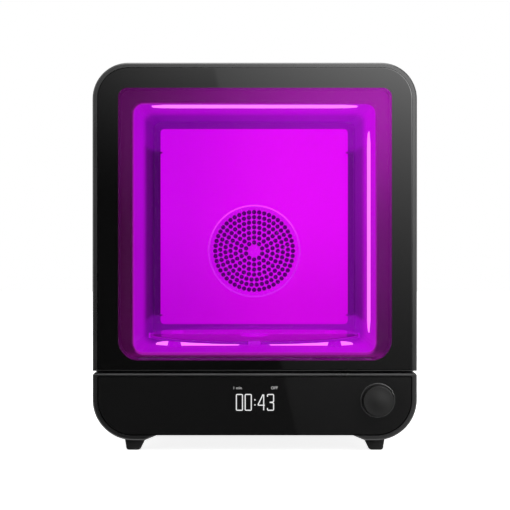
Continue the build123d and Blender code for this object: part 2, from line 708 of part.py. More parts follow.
with BuildPart() as door_inner_panel:
    with BuildSketch(depth_plane(PANEL_FRONT)):
        rounded_panel(
            POCKET_LEFT + SEAT_GAP, POCKET_RIGHT - SEAT_GAP,
            DOOR_BOTTOM + WALL + SEAT_GAP, BODY_TOP - WALL - SEAT_GAP,
            BEZEL_CORNER, TOP_RADIUS - WALL, TOP_RADIUS - HINGE_STILE,
        )
        with BuildSketch(mode=Mode.SUBTRACT):
            window_outline(0.0)
    extrude(amount=-PANEL)
    for height in MAGNET_HEIGHTS:
        with BuildSketch(depth_plane(DOOR_THICKNESS - MAGNET)):
            with Locations((MAGNET_X, height)):
                Rectangle(MAGNET_WIDTH + 2 * PRESS_GAP, MAGNET_HEIGHT + 2 * PRESS_GAP)
        extrude(amount=-MAGNET, mode=Mode.SUBTRACT)
finish(door_inner_panel, "door_inner_panel")

with BuildPart() as door_magnets:
    with BuildSketch(depth_plane(DOOR_THICKNESS - MAGNET)):
        for height in MAGNET_HEIGHTS:
            with Locations((MAGNET_X, height)):
                Rectangle(MAGNET_WIDTH, MAGNET_HEIGHT)
    extrude(amount=-MAGNET)
finish(door_magnets, "door_magnets")

with BuildPart() as door_gasket:
    with BuildSketch(depth_plane(DOOR_THICKNESS)):
        window_outline(GASKET_WIDTH + GASKET_INSET)
        with BuildSketch(mode=Mode.SUBTRACT):
            window_outline(GASKET_INSET)
    extrude(amount=-GASKET)
finish(door_gasket, "door_gasket")

with BuildPart() as hinge_pins:
    for height in HINGE_HEIGHTS:
        with BuildSketch(Plane.XY.offset(height - PIN_REACH)):
            with Locations((HINGE_X, HINGE_Y)):
                RegularPolygon(PIN_RADIUS, SMALL_SIDES)
        extrude(amount=2 * PIN_REACH)
finish(hinge_pins, "hinge_pins")

with BuildPart() as hinge_brackets:
    for height in HINGE_HEIGHTS:
        # tab, with a round nose about the pin
        with BuildSketch(Plane.XY.offset(height - TAB_THICKNESS / 2)):
            with Locations((HINGE_X, HINGE_Y)):
                RegularPolygon(TAB_HALF, ROUND_SIDES)
                Rectangle(
                    2 * TAB_HALF, LINER_FRONT - HINGE_DEPTH,
                    align=(Align.CENTER, Align.MIN),
                )
                round_hole(PIN_RADIUS + RUN_GAP, SMALL_SIDES)
        extrude(amount=TAB_THICKNESS)
        # foot plate behind the front frame
        with BuildSketch(depth_plane(LINER_FRONT)):
            with Locations((HINGE_X - TAB_HALF, height)):
                Rectangle(
                    FOOT_PLATE_WIDTH, 2 * FOOT_PLATE_HALF,
                    align=(Align.MIN, Align.CENTER),
                )
            with Locations(*[(HINGE_SCREW_X, height + side * HINGE_SCREW_PITCH) for side in (-1, 1)]):
                RegularPolygon(SCREW_RADIUS, PILOT_SIDES, mode=Mode.SUBTRACT)
        extrude(amount=-FOOT_PLATE)
finish(hinge_brackets, "hinge_brackets")

# ---------------------------------------------------------------- front frame and chamber
with BuildPart() as front_frame:
    with BuildSketch(depth_plane(CASING_FRONT)):
        rounded_panel(
            -FRAME_SIDE, FRAME_SIDE, FRAME_LOW, FRAME_HIGH, BEZEL_CORNER, TOP_RADIUS - WALL,
        )
        with BuildSketch(mode=Mode.SUBTRACT):
            chamber_outline(CHAMBER_FRONT_WIDTH, CHAMBER_FRONT_TOP, 0.0)
    extrude(amount=-FRAME_PLATE)
    frame_front = front_frame.faces().sort_by(Axis.Y)[0]
    chamfer(frame_front.inner_wires()[0].edges(), length=LIP_BEVEL)
    for height in HINGE_HEIGHTS:
        with BuildSketch(depth_plane(CASING_FRONT)):
            with Locations((-FRAME_SIDE - CUT_PAST, height)):
                Rectangle(
                    CUT_PAST + FRAME_SIDE + HINGE_X + TAB_HALF + SEAT_GAP,
                    TAB_THICKNESS + 2 * SEAT_GAP,
                    align=(Align.MIN, Align.CENTER),
                )
            with Locations(*[(HINGE_SCREW_X, height + side * HINGE_SCREW_PITCH) for side in (-1, 1)]):
                RegularPolygon(SCREW_RADIUS, PILOT_SIDES)
        extrude(amount=-FRAME_PLATE, mode=Mode.SUBTRACT)
    with BuildSketch(depth_plane(CASING_FRONT)):
        for height in MAGNET_HEIGHTS:
            with Locations((MAGNET_X, height)):
                Rectangle(STRIKE_WIDTH + 2 * PRESS_GAP, STRIKE_HEIGHT + 2 * PRESS_GAP)
    extrude(amount=-STRIKE, mode=Mode.SUBTRACT)
finish(front_frame, "front_frame")

with BuildPart() as door_strikes:
    with BuildSketch(depth_plane(CASING_FRONT)):
        for height in MAGNET_HEIGHTS:
            with Locations((MAGNET_X, height)):
                Rectangle(STRIKE_WIDTH, STRIKE_HEIGHT)
    extrude(amount=-STRIKE)
finish(door_strikes, "door_strikes")

with BuildPart() as hinge_screws:
    for height in HINGE_HEIGHTS:
        screw_places = [(HINGE_SCREW_X, height + side * HINGE_SCREW_PITCH) for side in (-1, 1)]
        with BuildSketch(depth_plane(CASING_FRONT)):
            with Locations(*screw_places):
                RegularPolygon(SCREW_RADIUS - RUN_GAP, PILOT_SIDES)
        extrude(amount=-(FRAME_PLATE + FOOT_PLATE))
        with BuildSketch(depth_plane(LINER_FRONT + FOOT_PLATE)):
            with Locations(*screw_places):
                RegularPolygon(SCREW_HEAD, HEAD_SIDES)
        extrude(amount=-SCREW_HEAD_HEIGHT)
finish(hinge_screws, "hinge_screws")

with BuildPart() as door_sensor:
    with BuildSketch(depth_plane(LINER_FRONT)):
        with Locations((MAGNET_X - SENSOR_INSET, MAGNET_HEIGHTS[-1])):
            Rectangle(SENSOR_SIZE[0], SENSOR_SIZE[1])
    extrude(amount=-SENSOR_SIZE[2])
finish(door_sensor, "door_sensor")

# each light bar: a plane on the face of its lens, pointing out of the chamber, then its two sizes
TOP_BARS = [
    (
        Plane((0.0, FRONT_Y + LINER_FRONT + TOP_BAR_BACKSET, TOP_BAR_Z), (1, 0, 0), (0, 0, 1)),
        TOP_BAR_LENGTH, TOP_BAR_WIDTH,
    )
]
SIDE_BARS = [
    (
        Plane(
            (SIDE_BAR_X, FRONT_Y + LINER_FRONT + SIDE_BAR_BACKSET, SIDE_BAR_CENTRE), (0, 0, 1), (1, 0, 0)
        ),
        SIDE_BAR_LENGTH, SIDE_BAR_WIDTH,
    )
]
FLOOR_BARS = [
    (
        Plane(
            (side * FLOOR_BAR_OFFSET, TABLE_Y, CHAMBER_FLOOR + LENS_PROUD), (1, 0, 0), (0, 0, -1)
        ),
        FLOOR_BAR_LENGTH, FLOOR_BAR_WIDTH,
    )
    for side in (-1, 1)
]
ALL_BARS = TOP_BARS + SIDE_BARS + FLOOR_BARS

with BuildPart() as chamber_liner:
    with BuildSketch(depth_plane(LINER_FRONT)):
        chamber_outline(CHAMBER_FRONT_WIDTH, CHAMBER_FRONT_TOP, LINER)
    with BuildSketch(depth_plane(CHAMBER_BACK + LINER)):
        chamber_outline(CHAMBER_BACK_WIDTH, CHAMBER_BACK_TOP, LINER)
    loft(ruled=True)
    with BuildSketch(depth_plane(LINER_FRONT)):
        chamber_outline(CHAMBER_FRONT_WIDTH, CHAMBER_FRONT_TOP, LINER + FLANGE)
    extrude(amount=-LINER)
    with BuildSketch(depth_plane(LINER_FRONT)):
        chamber_outline(CHAMBER_FRONT_WIDTH, CHAMBER_FRONT_TOP, 0.0)
    with BuildSketch(depth_plane(CHAMBER_BACK)):
        chamber_outline(CHAMBER_BACK_WIDTH, CHAMBER_BACK_TOP, 0.0)
    loft(ruled=True, mode=Mode.SUBTRACT)
    for plane, length, width in ALL_BARS:
        with BuildSketch(plane):
            bar_outline(length + 2 * BAR_GAP, width + 2 * BAR_GAP)
        extrude(amount=LENS_THICKNESS + LINER, mode=Mode.SUBTRACT)
    with BuildSketch(Plane.XY.offset(LINER_UNDER)):
        with Locations((0.0, TABLE_Y)):
            RegularPolygon(BUSH_RADIUS + SEAT_GAP, ROUND_SIDES, major_radius=False)
    extrude(amount=LINER, mode=Mode.SUBTRACT)
    # fan inlet and return slots in the back wall
    with BuildSketch(depth_plane(CHAMBER_BACK)):
        with Locations((0.0, FAN_Z)):
            RegularPolygon(GRILLE_RADIUS - GRILLE_RIM - INTAKE_MARGIN, ROUND_SIDES)
        with Locations((-RETURN_SLOT_CENTRE, RETURN_SLOT_Z), (RETURN_SLOT_CENTRE, RETURN_SLOT_Z)):
            Rectangle(RETURN_SLOT_WIDTH, NOTCH_HIGH - NOTCH_LOW)
    extrude(amount=-LINER, mode=Mode.SUBTRACT)
finish(chamber_liner, "chamber_liner")

# ---------------------------------------------------------------- light bars
for name, bars in (
    ("top_light_lens", TOP_BARS), ("side_light_lens", SIDE_BARS), ("floor_light_lenses", FLOOR_BARS),
):
    with BuildPart() as light_lens:
        for plane, length, width in bars:
            with BuildSketch(plane):
                bar_outline(length, width)
            extrude(amount=LENS_THICKNESS)
    finish(light_lens, name)

with BuildPart() as light_boards:
    for plane, length, width in ALL_BARS:
        with BuildSketch(plane.offset(LENS_THICKNESS)):
            Rectangle(length - 2 * BAR_CUT_END, width - 2 * BOARD_MARGIN)
        extrude(amount=BOARD)
finish(light_boards, "light_boards")

with BuildPart() as light_sinks:
    for plane, length, width in ALL_BARS:
        with BuildSketch(plane.offset(LENS_THICKNESS + BOARD)):
            Rectangle(length - 2 * BAR_CUT_END, width - 2 * SINK_MARGIN)
        extrude(amount=SINK_BASE)
        with BuildSketch(plane.offset(LENS_THICKNESS + BOARD + SINK_BASE)):
            with GridLocations(0.0, (width - 2 * SINK_MARGIN - SINK_FIN) / (SINK_FINS - 1), 1, SINK_FINS):
                Rectangle(length - 2 * BAR_CUT_END, SINK_FIN)
        extrude(amount=SINK_HEIGHT - SINK_BASE)
finish(light_sinks, "light_sinks")

# ---------------------------------------------------------------- rear wall of the chamber and its fan
with BuildPart() as back_reflector:
    with BuildSketch(depth_plane(CHAMBER_BACK - REFLECTOR)):
        rounded_panel(
            -REFLECTOR_WIDTH / 2, REFLECTOR_WIDTH / 2, REFLECTOR_LOW, REFLECTOR_HIGH,
            REFLECTOR_CORNER, REFLECTOR_CORNER,
        )
        with Locations((0.0, FAN_Z)):
            round_hole(GRILLE_RADIUS + SEAT_GAP, RING_SIDES)
        with GridLocations(REFLECTOR_WIDTH, NOTCH_HIGH - NOTCH_LOW, 2, 2):
            with Locations((0.0, RETURN_SLOT_Z)):
                Rectangle(2 * NOTCH, NOTCH, mode=Mode.SUBTRACT)
    extrude(amount=-REFLECTOR)
finish(back_reflector, "back_reflector")

with BuildPart() as fan_grille:
    with BuildSketch(depth_plane(CHAMBER_BACK - GRILLE_PLATE)):
        with Locations((0.0, FAN_Z)):
            RegularPolygon(GRILLE_RADIUS, RING_SIDES)
            for ring, count in enumerate(RING_COUNTS):
                with PolarLocations(RING_FIRST + ring * RING_PITCH, count, start_angle=90):
                    RegularPolygon(HOLE_RADIUS, HOLE_SIDES, mode=Mode.SUBTRACT)
    extrude(amount=-GRILLE_PLATE)
    with BuildSketch(depth_plane(CHAMBER_BACK - REFLECTOR - GRILLE_PROUD)):
        with Locations((0.0, FAN_Z)):
            RegularPolygon(GRILLE_RADIUS, RING_SIDES)
            round_hole(GRILLE_RADIUS - GRILLE_RIM, RING_SIDES)
    extrude(amount=-(REFLECTOR + GRILLE_PROUD - GRILLE_PLATE))
finish(fan_grille, "fan_grille")

with BuildPart() as fan_plenum:
    with BuildSketch(depth_plane(PLENUM_FRONT)):
        with Locations((0.0, (PLENUM_LOW + PLENUM_HIGH) / 2)):
            Rectangle(PLENUM_WIDTH, PLENUM_HIGH - PLENUM_LOW)
    extrude(amount=-PLENUM_DEPTH)
    with BuildSketch(depth_plane(PLENUM_FRONT)):
        with Locations((0.0, (PLENUM_LOW + PLENUM_HIGH) / 2)):
            Rectangle(PLENUM_WIDTH - 2 * PLENUM_WALL, PLENUM_HIGH - PLENUM_LOW - 2 * PLENUM_WALL)
    extrude(amount=-(PLENUM_DEPTH - PLENUM_WALL), mode=Mode.SUBTRACT)
    with BuildSketch(depth_plane(PLENUM_BACK - PLENUM_WALL)):
        with Locations((0.0, FAN_Z)):
            RegularPolygon(FAN_SHAFT_RADIUS + PLENUM_WALL, ROUND_SIDES)
        with Locations((0.0, PROBE_Z)):
            RegularPolygon(PROBE_RADIUS + SEAT_GAP, SMALL_SIDES, major_radius=False)
    extrude(amount=-PLENUM_WALL, mode=Mode.SUBTRACT)
finish(fan_plenum, "fan_plenum")

with BuildPart() as fan_rotor:
    with BuildSketch(depth_plane(ROTOR_FRONT)):
        with Locations((0.0, FAN_Z)):
            RegularPolygon(ROTOR_HUB_RADIUS, ROUND_SIDES)
            with PolarLocations(BLADE_CENTRE_RADIUS, ROTOR_BLADES):
                Rectangle(BLADE_CHORD, BLADE, rotation=BLADE_ANGLE)
    extrude(amount=-ROTOR_WIDTH)
    with BuildSketch(depth_plane(ROTOR_FRONT + ROTOR_WIDTH)):
        with Locations((0.0, FAN_Z)):
            RegularPolygon(ROTOR_RADIUS, ROUND_SIDES)
    extrude(amount=-ROTOR_PLATE)
    with BuildSketch(depth_plane(ROTOR_FRONT)):
        with Locations((0.0, FAN_Z)):
            RegularPolygon(FAN_SHAFT_RADIUS + PRESS_GAP, ROUND_SIDES)
    extrude(amount=-(ROTOR_WIDTH + ROTOR_PLATE), mode=Mode.SUBTRACT)
finish(fan_rotor, "fan_rotor")

with BuildPart() as fan_shaft:
    with BuildSketch(depth_plane(ROTOR_FRONT - FAN_SHAFT_END)):
        with Locations((0.0, FAN_Z)):
            RegularPolygon(FAN_SHAFT_RADIUS, ROUND_SIDES)
    extrude(amount=-(PLENUM_BACK + FAN_SHAFT_SOCKET - ROTOR_FRONT + FAN_SHAFT_END))
finish(fan_shaft, "fan_shaft")

with BuildPart() as fan_motor:
    with BuildSketch(depth_plane(PLENUM_BACK)):
        with Locations((0.0, FAN_Z)):
            RegularPolygon(FAN_MOTOR_RADIUS, ROUND_SIDES)
    extrude(amount=-FAN_MOTOR_LENGTH)
    with BuildSketch(depth_plane(PLENUM_BACK)):
        with Locations((0.0, FAN_Z)):
            RegularPolygon(FAN_SHAFT_RADIUS + RUN_GAP, ROUND_SIDES, major_radius=False)
    extrude(amount=-(FAN_SHAFT_SOCKET + FAN_SOCKET_GAP), mode=Mode.SUBTRACT)
finish(fan_motor, "fan_motor")

with BuildPart() as heater_element:
    # one finned block in the air path on each side of the rotor
    with BuildSketch(depth_plane(PLENUM_BACK - PLENUM_WALL - HEATER_BASE)):
        with Locations((-HEATER_X, FAN_Z), (HEATER_X, FAN_Z)):
            Rectangle(HEATER_WIDTH, HEATER_HEIGHT)
    extrude(amount=-HEATER_BASE)
    with BuildSketch(depth_plane(PLENUM_BACK - PLENUM_WALL - HEATER_FIN_DEPTH)):
        with Locations((-HEATER_X, FAN_Z), (HEATER_X, FAN_Z)):
            with GridLocations(0.0, (HEATER_HEIGHT - HEATER_FIN) / (HEATER_FINS - 1), 1, HEATER_FINS):
                Rectangle(HEATER_WIDTH, HEATER_FIN)
    extrude(amount=-(HEATER_FIN_DEPTH - HEATER_BASE))
finish(heater_element, "heater_element")

with BuildPart() as temperature_probe:
    with BuildSketch(depth_plane(PROBE_DEPTH)):
        with Locations((0.0, PROBE_Z)):
            RegularPolygon(PROBE_RADIUS, SMALL_SIDES)
    extrude(amount=-(PLENUM_BACK + PROBE_TAIL - PROBE_DEPTH))
    with BuildSketch(depth_plane(PLENUM_BACK)):
        with Locations((0.0, PROBE_Z)):
            RegularPolygon(PROBE_NUT_RADIUS, HEAD_SIDES)
    extrude(amount=-PROBE_NUT)
finish(temperature_probe, "temperature_probe")

# ---------------------------------------------------------------- turntable
with BuildPart() as turntable_glass:
    with BuildSketch(Plane.XY.offset(TABLE_UNDER)):
        with Locations((0.0, TABLE_Y)):
            Circle(TABLE_RADIUS)
            round_hole(SPIGOT_RADIUS + SEAT_GAP)
    extrude(amount=TABLE_GLASS)
finish(turntable_glass, "turntable_glass")

with BuildPart() as turntable_hub:
    with BuildSketch(Plane.XY.offset(HUB_LOW)):
        with Locations((0.0, TABLE_Y)):
            RegularPolygon(HUB_RADIUS, ROUND_SIDES)
    extrude(amount=TABLE_UNDER - HUB_LOW)
    with BuildSketch(Plane.XY.offset(TABLE_UNDER)):
        with Locations((0.0, TABLE_Y)):
            RegularPolygon(SPIGOT_RADIUS, ROUND_SIDES)
    extrude(amount=TABLE_GLASS)
    with BuildSketch(Plane.XY.offset(HUB_LOW)):
        with Locations((0.0, TABLE_Y)):
            RegularPolygon(SHAFT_RADIUS + PRESS_GAP, ROUND_SIDES)
    extrude(amount=SHAFT_TOP - HUB_LOW, mode=Mode.SUBTRACT)
finish(turntable_hub, "turntable_hub")

with BuildPart() as turntable_clips:
    # angle clips, flush with the top of the glass
    with Locations((0.0, TABLE_Y, TABLE_TOP - (TABLE_GLASS + CLIP_WALL) / 2)):
        with PolarLocations(TABLE_RADIUS + (CLIP_WALL - CLIP_GRIP) / 2, CLIPS):
            Box(CLIP_GRIP + CLIP_WALL, CLIP_WIDTH, TABLE_GLASS + CLIP_WALL)
    with Locations((0.0, TABLE_Y, TABLE_TOP - TABLE_GLASS / 2)):
        with PolarLocations(TABLE_RADIUS - CLIP_GRIP, CLIPS):
            Box(2 * CLIP_GRIP, CLIP_WIDTH, TABLE_GLASS, mode=Mode.SUBTRACT)
finish(turntable_clips, "turntable_clips")

with BuildPart() as turntable_posts:
    post_height = TABLE_UNDER - POST_GAP - CHAMBER_FLOOR
    with BuildSketch(Plane.XY.offset(CHAMBER_FLOOR)):
        with Locations((0.0, TABLE_Y)):
            with GridLocations(2 * POST_SPREAD_X, 2 * POST_SPREAD_Y, 2, 2):
                RegularPolygon(POST_FOOT_RADIUS, POST_SIDES)
    extrude(amount=post_height, taper=POST_TAPER)
finish(turntable_posts, "turntable_posts")

with BuildPart() as turntable_shaft:
    with BuildSketch(Plane.XY.offset(MOTOR_TOP - SHAFT_SOCKET)):
        with Locations((0.0, TABLE_Y)):
            RegularPolygon(SHAFT_RADIUS, ROUND_SIDES)
    extrude(amount=SHAFT_TOP - MOTOR_TOP + SHAFT_SOCKET)
finish(turntable_shaft, "turntable_shaft")

with BuildPart() as turntable_bush:
    with BuildSketch(Plane.XY.offset(LINER_UNDER - BUSH_FOOT)):
        with Locations((0.0, TABLE_Y)):
            RegularPolygon(BUSH_RADIUS, ROUND_SIDES)
            round_hole(SHAFT_RADIUS + RUN_GAP)
    extrude(amount=BUSH_TOP - LINER_UNDER + BUSH_FOOT)
finish(turntable_bush, "turntable_bush")

with BuildPart() as motor_bracket:
    with BuildSketch(Plane.XY.offset(MOTOR_TOP)):
        with Locations((0.0, TABLE_Y)):
            Rectangle(BRACKET_WIDTH, BRACKET_LENGTH)
            RegularPolygon(BUSH_RADIUS, ROUND_SIDES, mode=Mode.SUBTRACT)
    extrude(amount=BRACKET_SHEET)
    with BuildSketch(Plane.XY.offset(MOTOR_TOP)):
        with Locations((0.0, TABLE_Y)):
            with GridLocations(0.0, BRACKET_LENGTH - BRACKET_SHEET, 1, 2):
                Rectangle(BRACKET_WIDTH, BRACKET_SHEET)
    extrude(amount=BRACKET_DROP)
    with BuildSketch(Plane.XY.offset(LINER_UNDER - BRACKET_SHEET)):
        with Locations((0.0, TABLE_Y)):
            with GridLocations(0.0, BRACKET_LENGTH + BRACKET_EAR, 1, 2):
                Rectangle(BRACKET_WIDTH, BRACKET_EAR + BRACKET_SHEET)
    extrude(amount=BRACKET_SHEET)
finish(motor_bracket, "motor_bracket")

with BuildPart() as turntable_motor:
    with BuildSketch(Plane.XY.offset(MOTOR_TOP - TABLE_MOTOR_LENGTH)):
        with Locations((0.0, TABLE_Y)):
            RegularPolygon(TABLE_MOTOR_RADIUS, ROUND_SIDES)
    extrude(amount=TABLE_MOTOR_LENGTH)
    with BuildSketch(Plane.XY.offset(MOTOR_TOP)):
        with Locations((0.0, TABLE_Y)):
            RegularPolygon(BUSH_RADIUS - SEAT_GAP, ROUND_SIDES)
    extrude(amount=2 * BRACKET_SHEET)
    with BuildSketch(Plane.XY.offset(MOTOR_TOP - SHAFT_SOCKET - HUB_GAP)):
        with Locations((0.0, TABLE_Y)):
            RegularPolygon(SHAFT_RADIUS + RUN_GAP, ROUND_SIDES, major_radius=False)
    extrude(amount=2 * BRACKET_SHEET + SHAFT_SOCKET + HUB_GAP, mode=Mode.SUBTRACT)
finish(turntable_motor, "turntable_motor")

# ---------------------------------------------------------------- controls
with BuildPart() as knob:
    with BuildSketch(depth_plane(KNOB_DOME - KNOB_PROUD)):
        with Locations((KNOB_X, KNOB_Z)):
            RegularPolygon(KNOB_RADIUS, RING_SIDES)
    extrude(amount=-(KNOB_PROUD + KNOB_BACK - KNOB_DOME))
    chamfer(knob.faces().sort_by(Axis.Y)[0].edges(), length=KNOB_BEVEL)
    # low dome in the middle of the face
    with BuildSketch(depth_plane(-KNOB_PROUD)):
        with Locations((KNOB_X, KNOB_Z)):
            RegularPolygon(KNOB_DOME_RADIUS, RING_SIDES)
    extrude(amount=-KNOB_DOME)
    knob_face = knob.faces().sort_by(Axis.Y)[0]
    chamfer(
        knob_face.edges(), length=KNOB_DOME_RADIUS - KNOB_DOME_FLAT,
        length2=KNOB_DOME - RUN_GAP, reference=knob_face,
    )
    # socket for the stem
    with BuildSketch(depth_plane(KNOB_CAP - KNOB_PROUD)):
        with Locations((KNOB_X, KNOB_Z)):
            RegularPolygon(STEM_RADIUS + PRESS_GAP, ROUND_SIDES)
    extrude(amount=-(KNOB_PROUD + KNOB_BACK), mode=Mode.SUBTRACT)
finish(knob, "knob")

with BuildPart() as knob_ring:
    with BuildSketch(depth_plane(0.0)):
        with Locations((KNOB_X, KNOB_Z)):
            RegularPolygon(KNOB_RECESS_RADIUS, RING_SIDES)
            round_hole(KNOB_RECESS_RADIUS - KNOB_RING_WALL, RING_SIDES)
    extrude(amount=-(GLASS_BACK + SEAT_GAP))
finish(knob_ring, "knob_ring")

with BuildPart() as knob_stem:
    with BuildSketch(depth_plane(KNOB_CAP - KNOB_PROUD)):
        with Locations((KNOB_X, KNOB_Z)):
            RegularPolygon(STEM_RADIUS, ROUND_SIDES)
    extrude(amount=-(PLUNGER_BACK - KNOB_CAP + KNOB_PROUD))
finish(knob_stem, "knob_stem")

with BuildPart() as encoder_plunger:
    with BuildSketch(depth_plane(ENCODER_FRONT - PLUNGER_PROUD)):
        with Locations((KNOB_X, KNOB_Z)):
            RegularPolygon(PLUNGER_RADIUS, ROUND_SIDES)
            round_hole(STEM_RADIUS + RUN_GAP)
    extrude(amount=-(PLUNGER_BACK - ENCODER_FRONT + PLUNGER_PROUD))
finish(encoder_plunger, "encoder_plunger")

with BuildPart() as encoder_body:
    with BuildSketch(depth_plane(ENCODER_FRONT)):
        with Locations((KNOB_X, KNOB_Z)):
            Rectangle(ENCODER_SIZE, ENCODER_SIZE)
            round_hole(PLUNGER_RADIUS + RUN_GAP)
    extrude(amount=-(CONTROL_BOARD_DEPTH - ENCODER_FRONT))
finish(encoder_body, "encoder_body")

with BuildPart() as display_module:
    with BuildSketch(depth_plane(GLASS_BACK)):
        with Locations((0.0, DISPLAY_Z)):
            Rectangle(DISPLAY_WIDTH, DISPLAY_HEIGHT)
    extrude(amount=-DISPLAY_THICKNESS)
    # connector on the back of the display
    with BuildSketch(depth_plane(GLASS_BACK + DISPLAY_THICKNESS)):
        with Locations((0.0, DISPLAY_Z - DISPLAY_HEIGHT / 2 + DISPLAY_PLUG[1])):
            Rectangle(DISPLAY_PLUG[0], DISPLAY_PLUG[1])
    extrude(amount=-DISPLAY_PLUG[2])
finish(display_module, "display_module")

with BuildPart() as control_board:
    with BuildSketch(depth_plane(CONTROL_BOARD_DEPTH)):
        rounded_panel(
            CONTROL_BOARD_LEFT, CONTROL_BOARD_RIGHT, CONTROL_BOARD_LOW, CONTROL_BOARD_HIGH, 0.0, 0.0
        )
    extrude(amount=-BOARD)
    with BuildSketch(depth_plane(CONTROL_BOARD_DEPTH + BOARD)):
        for place in (1, 2):
            with Locations((CONTROL_BOARD_LEFT + place * CHIP_PITCH, KNOB_Z)):
                Rectangle(CHIP, CHIP)
    extrude(amount=-CHIP_HEIGHT)
finish(control_board, "control_board")

# ---------------------------------------------------------------- electronics bay
with BuildPart() as power_supply:
    with BuildSketch(Plane.XY.offset(TRAY_TOP)):
        with Locations((SUPPLY_X, FRONT_Y + SUPPLY_DEPTH)):
            Rectangle(SUPPLY_SIZE[0], SUPPLY_SIZE[1])
    extrude(amount=SUPPLY_SIZE[2])
    # step for the terminals at the front end
    with BuildSketch(Plane.XY.offset(TRAY_TOP + SUPPLY_SIZE[2] - SUPPLY_STEP[2])):
        with Locations((SUPPLY_X, FRONT_Y + SUPPLY_DEPTH - SUPPLY_SIZE[1] / 2)):
            Rectangle(SUPPLY_STEP[0], 2 * SUPPLY_STEP[1])
    extrude(amount=SUPPLY_STEP[2], mode=Mode.SUBTRACT)
    # cooling slots in the cover
    with BuildSketch(Plane.XY.offset(TRAY_TOP + SUPPLY_SIZE[2] - SUPPLY_SLOT[2])):
        with Locations((SUPPLY_X, FRONT_Y + SUPPLY_DEPTH + SUPPLY_STEP[1])):
            with GridLocations(SUPPLY_SLOT_PITCH, 0.0, SUPPLY_SLOTS, 1):
                Rectangle(SUPPLY_SLOT[0], SUPPLY_SLOT[1])
    extrude(amount=SUPPLY_SLOT[2], mode=Mode.SUBTRACT)
finish(power_supply, "power_supply")

with BuildPart() as logic_board:
    with BuildSketch(Plane.XY.offset(TRAY_TOP + STANDOFF)):
        with Locations((LOGIC_X, FRONT_Y + LOGIC_DEPTH)):
            Rectangle(LOGIC_SIZE[0], LOGIC_SIZE[1])
    extrude(amount=BOARD)
    # relays, heat sink and driver on the board
    with BuildSketch(Plane.XY.offset(TRAY_TOP + STANDOFF + BOARD)):
        with Locations((LOGIC_X, FRONT_Y + LOGIC_DEPTH + RELAY_PITCH)):
            with GridLocations(RELAY_PITCH, 0.0, RELAYS, 1):
                Rectangle(*RELAY_SIZE)
        with Locations((LOGIC_X + LOGIC_SIZE[0] / 2 - HEAT_SINK_SIZE[0], FRONT_Y + LOGIC_DEPTH)):
            Rectangle(*HEAT_SINK_SIZE)
        with Locations((LOGIC_X - DRIVER_SIZE[0] / 2, FRONT_Y + LOGIC_DEPTH - DRIVER_SIZE[1])):
            Rectangle(*DRIVER_SIZE)
    extrude(amount=COMPONENT_HEIGHT)
finish(logic_board, "logic_board")

with BuildPart() as board_standoffs:
    with BuildSketch(Plane.XY.offset(TRAY_TOP)):
        with Locations((LOGIC_X, FRONT_Y + LOGIC_DEPTH)):
            with GridLocations(LOGIC_SIZE[0] - STANDOFF_INSET, LOGIC_SIZE[1] - STANDOFF_INSET, 2, 2):
                RegularPolygon(STANDOFF_RADIUS, HEAD_SIDES)
    extrude(amount=STANDOFF)
finish(board_standoffs, "board_standoffs")

# ---------------------------------------------------------------- rear panel and what it carries
with BuildPart() as rear_panel:
    with BuildSketch(depth_plane(REAR_PANEL_FRONT)):
        casing_outline(WALL + SEAT_GAP)
        with Locations((0.0, BODY_TOP - REAR_VENT_DROP)):
            with GridLocations(REAR_VENT_PITCH, 0.0, REAR_VENTS, 1):
                Rectangle(REAR_VENT_WIDTH, REAR_VENT_LENGTH, mode=Mode.SUBTRACT)
        with Locations((EXHAUST_X, EXHAUST_Z)):
            for row in range(-EXHAUST_ROWS, EXHAUST_ROWS + 1):
                reach = (EXHAUST_OPEN**2 - (row * EXHAUST_PITCH_Z) ** 2) ** 0.5
                with Locations((0.0, row * EXHAUST_PITCH_Z)):
                    Rectangle(2 * reach, EXHAUST_SLOT, mode=Mode.SUBTRACT)
        with Locations((INLET_X, SOCKET_Z)):
            Rectangle(INLET_SIZE[0] + 2 * PRESS_GAP, INLET_SIZE[1] + 2 * PRESS_GAP, mode=Mode.SUBTRACT)
        with Locations((SWITCH_X, SOCKET_Z)):
            Rectangle(SWITCH_SIZE[0] + 2 * PRESS_GAP, SWITCH_SIZE[1] + 2 * PRESS_GAP, mode=Mode.SUBTRACT)
        with Locations(*LUG_PLACES):
            RegularPolygon(SCREW_RADIUS, PILOT_SIDES, mode=Mode.SUBTRACT)
    extrude(amount=-REAR_PANEL)
finish(rear_panel, "rear_panel")

with BuildPart() as rear_screws:
    with BuildSketch(depth_plane(REAR_PANEL_FRONT - SCREW_LENGTH + REAR_PANEL)):
        with Locations(*LUG_PLACES):
            RegularPolygon(SCREW_RADIUS - RUN_GAP, PILOT_SIDES)
    extrude(amount=-SCREW_LENGTH)
    with BuildSketch(depth_plane(REAR_PANEL_FRONT + REAR_PANEL)):
        with Locations(*LUG_PLACES):
            RegularPolygon(SCREW_HEAD, HEAD_SIDES)
    extrude(amount=-SCREW_HEAD_HEIGHT)
finish(rear_screws, "rear_screws")

